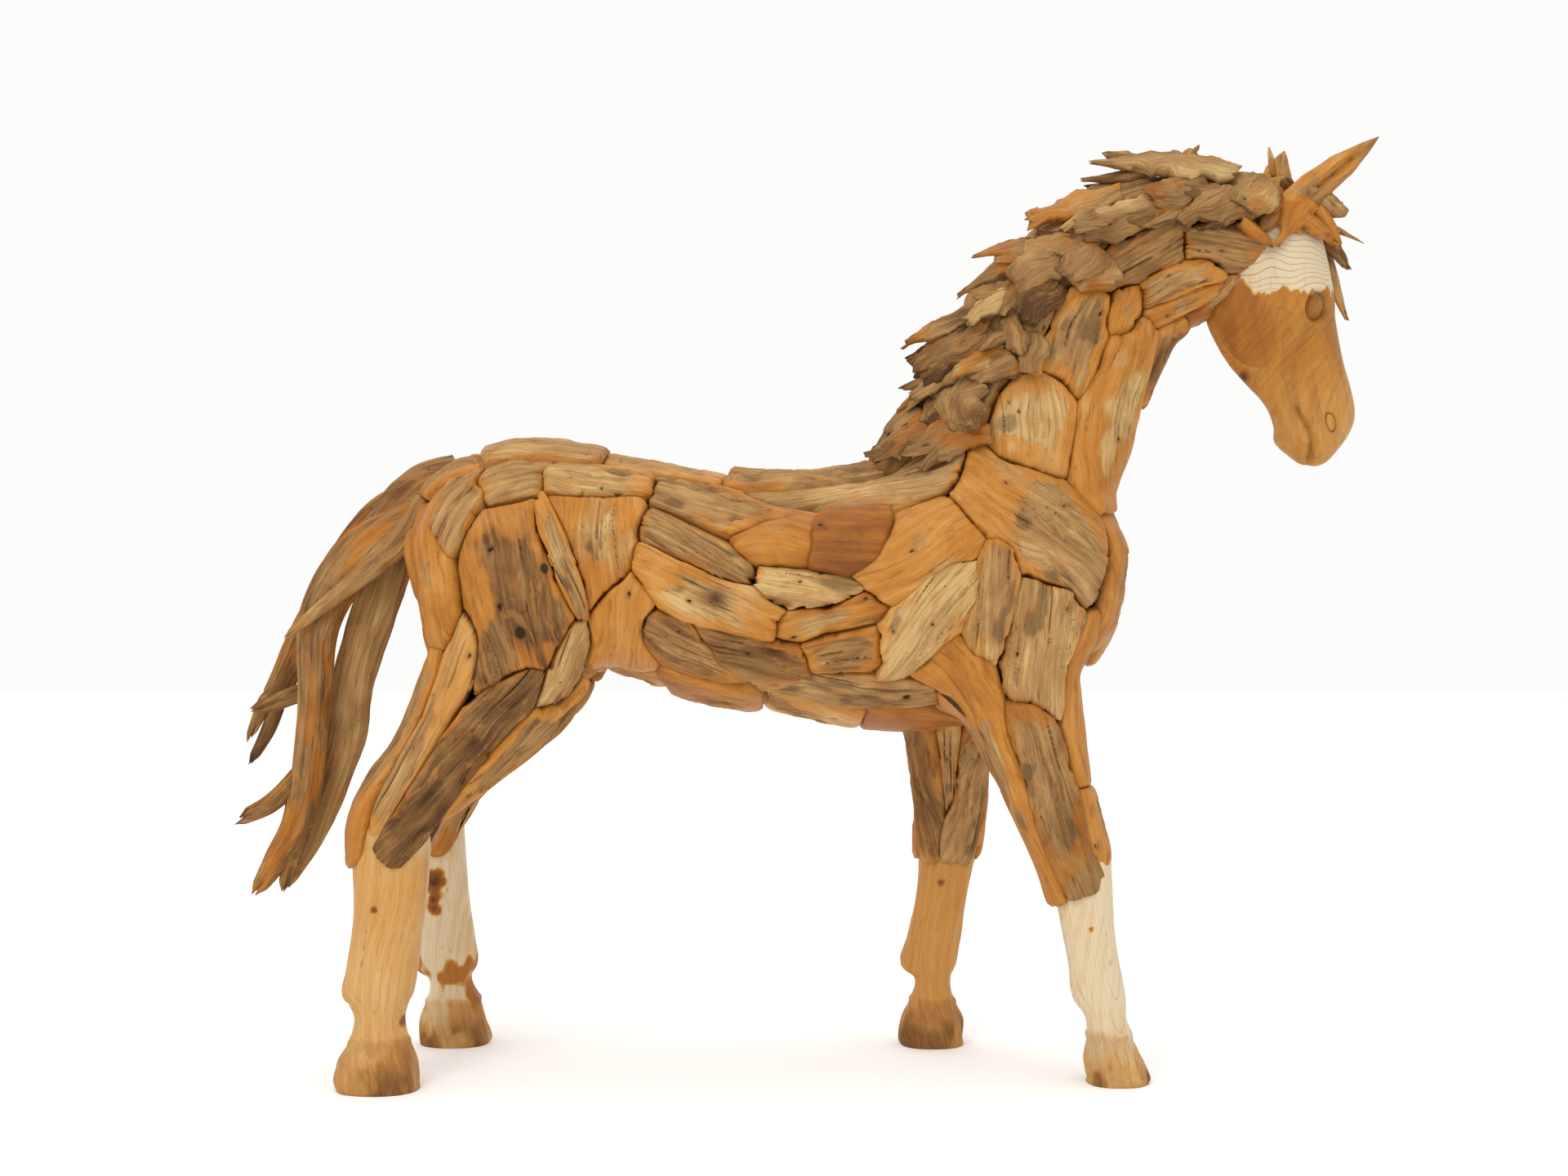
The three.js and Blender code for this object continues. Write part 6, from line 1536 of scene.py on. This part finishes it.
addSurface("right_ear", earSurface(*ears["right_ear"], -1, np.random.default_rng(810)))
addSurface("left_ear", earSurface(*ears["left_ear"], 1, np.random.default_rng(812)))
print("the forelock and the ears are set")


# The tail: branches as node, then x, y, z, half width across, half depth

tail = {
    "step": 0.005,
    "sides": 56,
    "branches": [
        ("tail_branches", 0.35, 0.35, 0.6, [
            (-0.76, 0, 1.077, 0.03, 0.024), (-0.82, 0.024, 1.07, 0.034, 0.024),
            (-0.901, 0.04, 0.981, 0.036, 0.024), (-0.972, 0.04, 0.855, 0.03, 0.022),
            (-1.035, 0.036, 0.72, 0.026, 0.02), (-1.062, 0.034, 0.69, 0.016, 0.014),
            (-1.088, 0.034, 0.63, 0.009, 0.008),
        ]),
        ("tail_branches", 0.3, 0.3, 0.8, [
            (-1.016, 0.036, 0.755, 0.018, 0.018), (-1.052, 0.04, 0.65, 0.015, 0.013),
            (-1.086, 0.044, 0.585, 0.008, 0.008),
        ]),
        ("tail_branches", 0.5, 0.4, 0.55, [
            (-0.74, -0.01, 1.07, 0.03, 0.026), (-0.805, -0.03, 1.035, 0.034, 0.026),
            (-0.88, -0.036, 0.965, 0.046, 0.028), (-0.938, -0.04, 0.851, 0.042, 0.028),
            (-0.948, -0.04, 0.685, 0.034, 0.028), (-0.972, -0.042, 0.493, 0.032, 0.026),
            (-1.02, -0.044, 0.398, 0.024, 0.02), (-1.054, -0.046, 0.345, 0.013, 0.012),
        ]),
        ("tail_branches", 0.4, 0.4, 0.8, [
            (-0.972, -0.04, 0.465, 0.02, 0.02), (-0.998, -0.03, 0.383, 0.016, 0.014),
            (-1.01, -0.024, 0.345, 0.008, 0.008),
        ]),
        ("tail_branches", 0.4, 0.4, 0.8, [
            (-0.95, -0.04, 0.595, 0.02, 0.018), (-1.02, -0.05, 0.516, 0.019, 0.016),
            (-1.08, -0.054, 0.482, 0.014, 0.012),
        ]),
        ("tail_branches", 0.3, 0.3, 0.8, [
            (-0.94, -0.036, 0.73, 0.02, 0.018), (-1.027, -0.028, 0.698, 0.016, 0.014),
            (-1.064, -0.022, 0.687, 0.01, 0.009),
        ]),
        ("tail_slabs", 0.55, 0.5, 0.9, [
            (-0.672, 0, 1.121, 0.058, 0.022), (-0.74, 0, 1.097, 0.062, 0.024),
            (-0.8, -0.004, 1.043, 0.054, 0.026), (-0.856, -0.006, 0.98, 0.026, 0.02),
        ]),
        ("tail_slabs", 0.65, 0.5, 0.85, [
            (-0.735, 0.004, 1.105, 0.03, 0.024), (-0.785, 0.006, 1.025, 0.04, 0.024),
            (-0.829, 0.008, 0.918, 0.044, 0.024), (-0.88, 0.01, 0.761, 0.044, 0.024),
            (-0.912, 0.012, 0.603, 0.042, 0.022), (-0.971, 0.014, 0.445, 0.034, 0.018),
            (-1.009, 0.014, 0.343, 0.009, 0.009),
        ]),
        ("tail_slabs", 0.6, 0.5, 0.8, [
            (-0.742, -0.016, 1.085, 0.026, 0.02), (-0.8, -0.056, 0.991, 0.028, 0.016),
            (-0.99, -0.084, 0.828, 0.007, 0.006),
        ]),
    ],
}


def branchSurface(stations, tone, sand, weatherShare, seed):
    random = np.random.default_rng(seed)
    rows = smoothRows(stations, tail["step"])
    along = unit(np.gradient(rows[:, :3], axis=0))
    across = unit(np.cross((0.0, -1.0, 0.0), along))
    out = np.cross(along, across)
    angle = turnsOf(tail["sides"])
    length = np.concatenate([[0], np.cumsum(np.linalg.norm(np.diff(rows[:, :3], axis=0), axis=1))])[:, None]
    cosine, sine = np.cos(angle), np.sin(angle)
    v, w = rows[:, 3:4] * cosine, rows[:, 4:5] * sine
    around = stacked(cosine * 2.0, sine * 2.0, length * 14)
    fold = noiseSwing(stacked(cosine * 1.5 + 4, sine * 1.5, length * 5), seed)
    ridges = noiseSwing(stacked(cosine * 7, sine * 7, length * 6), seed + 1)
    knots = noiseSwing(around, seed + 2)
    swell = 0.94 + 0.40 * fold + 0.20 * ridges + 0.14 * knots
    end = smoothStep(0.0, 0.02, length[-1] - length)
    swell = swell * (0.35 + 0.65 * end)
    jag = noiseSwing(stacked(cosine * 3, sine * 3, 0 * angle + 1), seed + 3, 2) * 0.05
    slide = jag * smoothStep(0.06, 0.0, length[-1] - length) * np.minimum(1, rows[-1, 3] / 0.01)
    points = rows[:, None, :3] + moved(v * swell, across[:, None]) + moved(w * swell, out[:, None])
    points = points + moved(slide, along[:, None])
    grain = stacked(length + 0 * v, v * 1.2, w * 1.2)
    weather = smoothStep(-0.05, 0.05, weatherShare - 1.1 * layeredNoise(around * (1, 1, 0.6), seed + 5))
    # painted shade in the deep folds between the ridges
    crack = np.clip(-ridges * 4.5 - 0.95, 0, 1) * 0.8
    toneValues = tone - 0.10 + 0.45 * noiseSwing(around * 0.8, seed + 6, 2)
    sandValues = sand + 0.35 * noiseSwing(around * 0.7, seed + 7, 2)
    return tubeSurface(points, random, grain, sandValues, toneValues, weather, crack, 0 * v)


for number, (node, tone, sand, share, stations) in enumerate(tail["branches"]):
    addSurface(node, branchSurface(stations, tone, sand, share, 900 + number * 12))
print("the tail is hung")


# One object for each node

for node in sorted(surfacesOf):
    slot = slotOfNode.get(node, "sanded_teak")
    surface = joinedSurfaces([facingOut(one) for one in surfacesOf[node]])
    makePiece(node, surface, carvedWood if node == "head" else woods[slot])
vertexCount = sum(len(one["vertices"]) for group in surfacesOf.values() for one in group)
print("pieces:", len(surfacesOf), "vertices:", vertexCount)
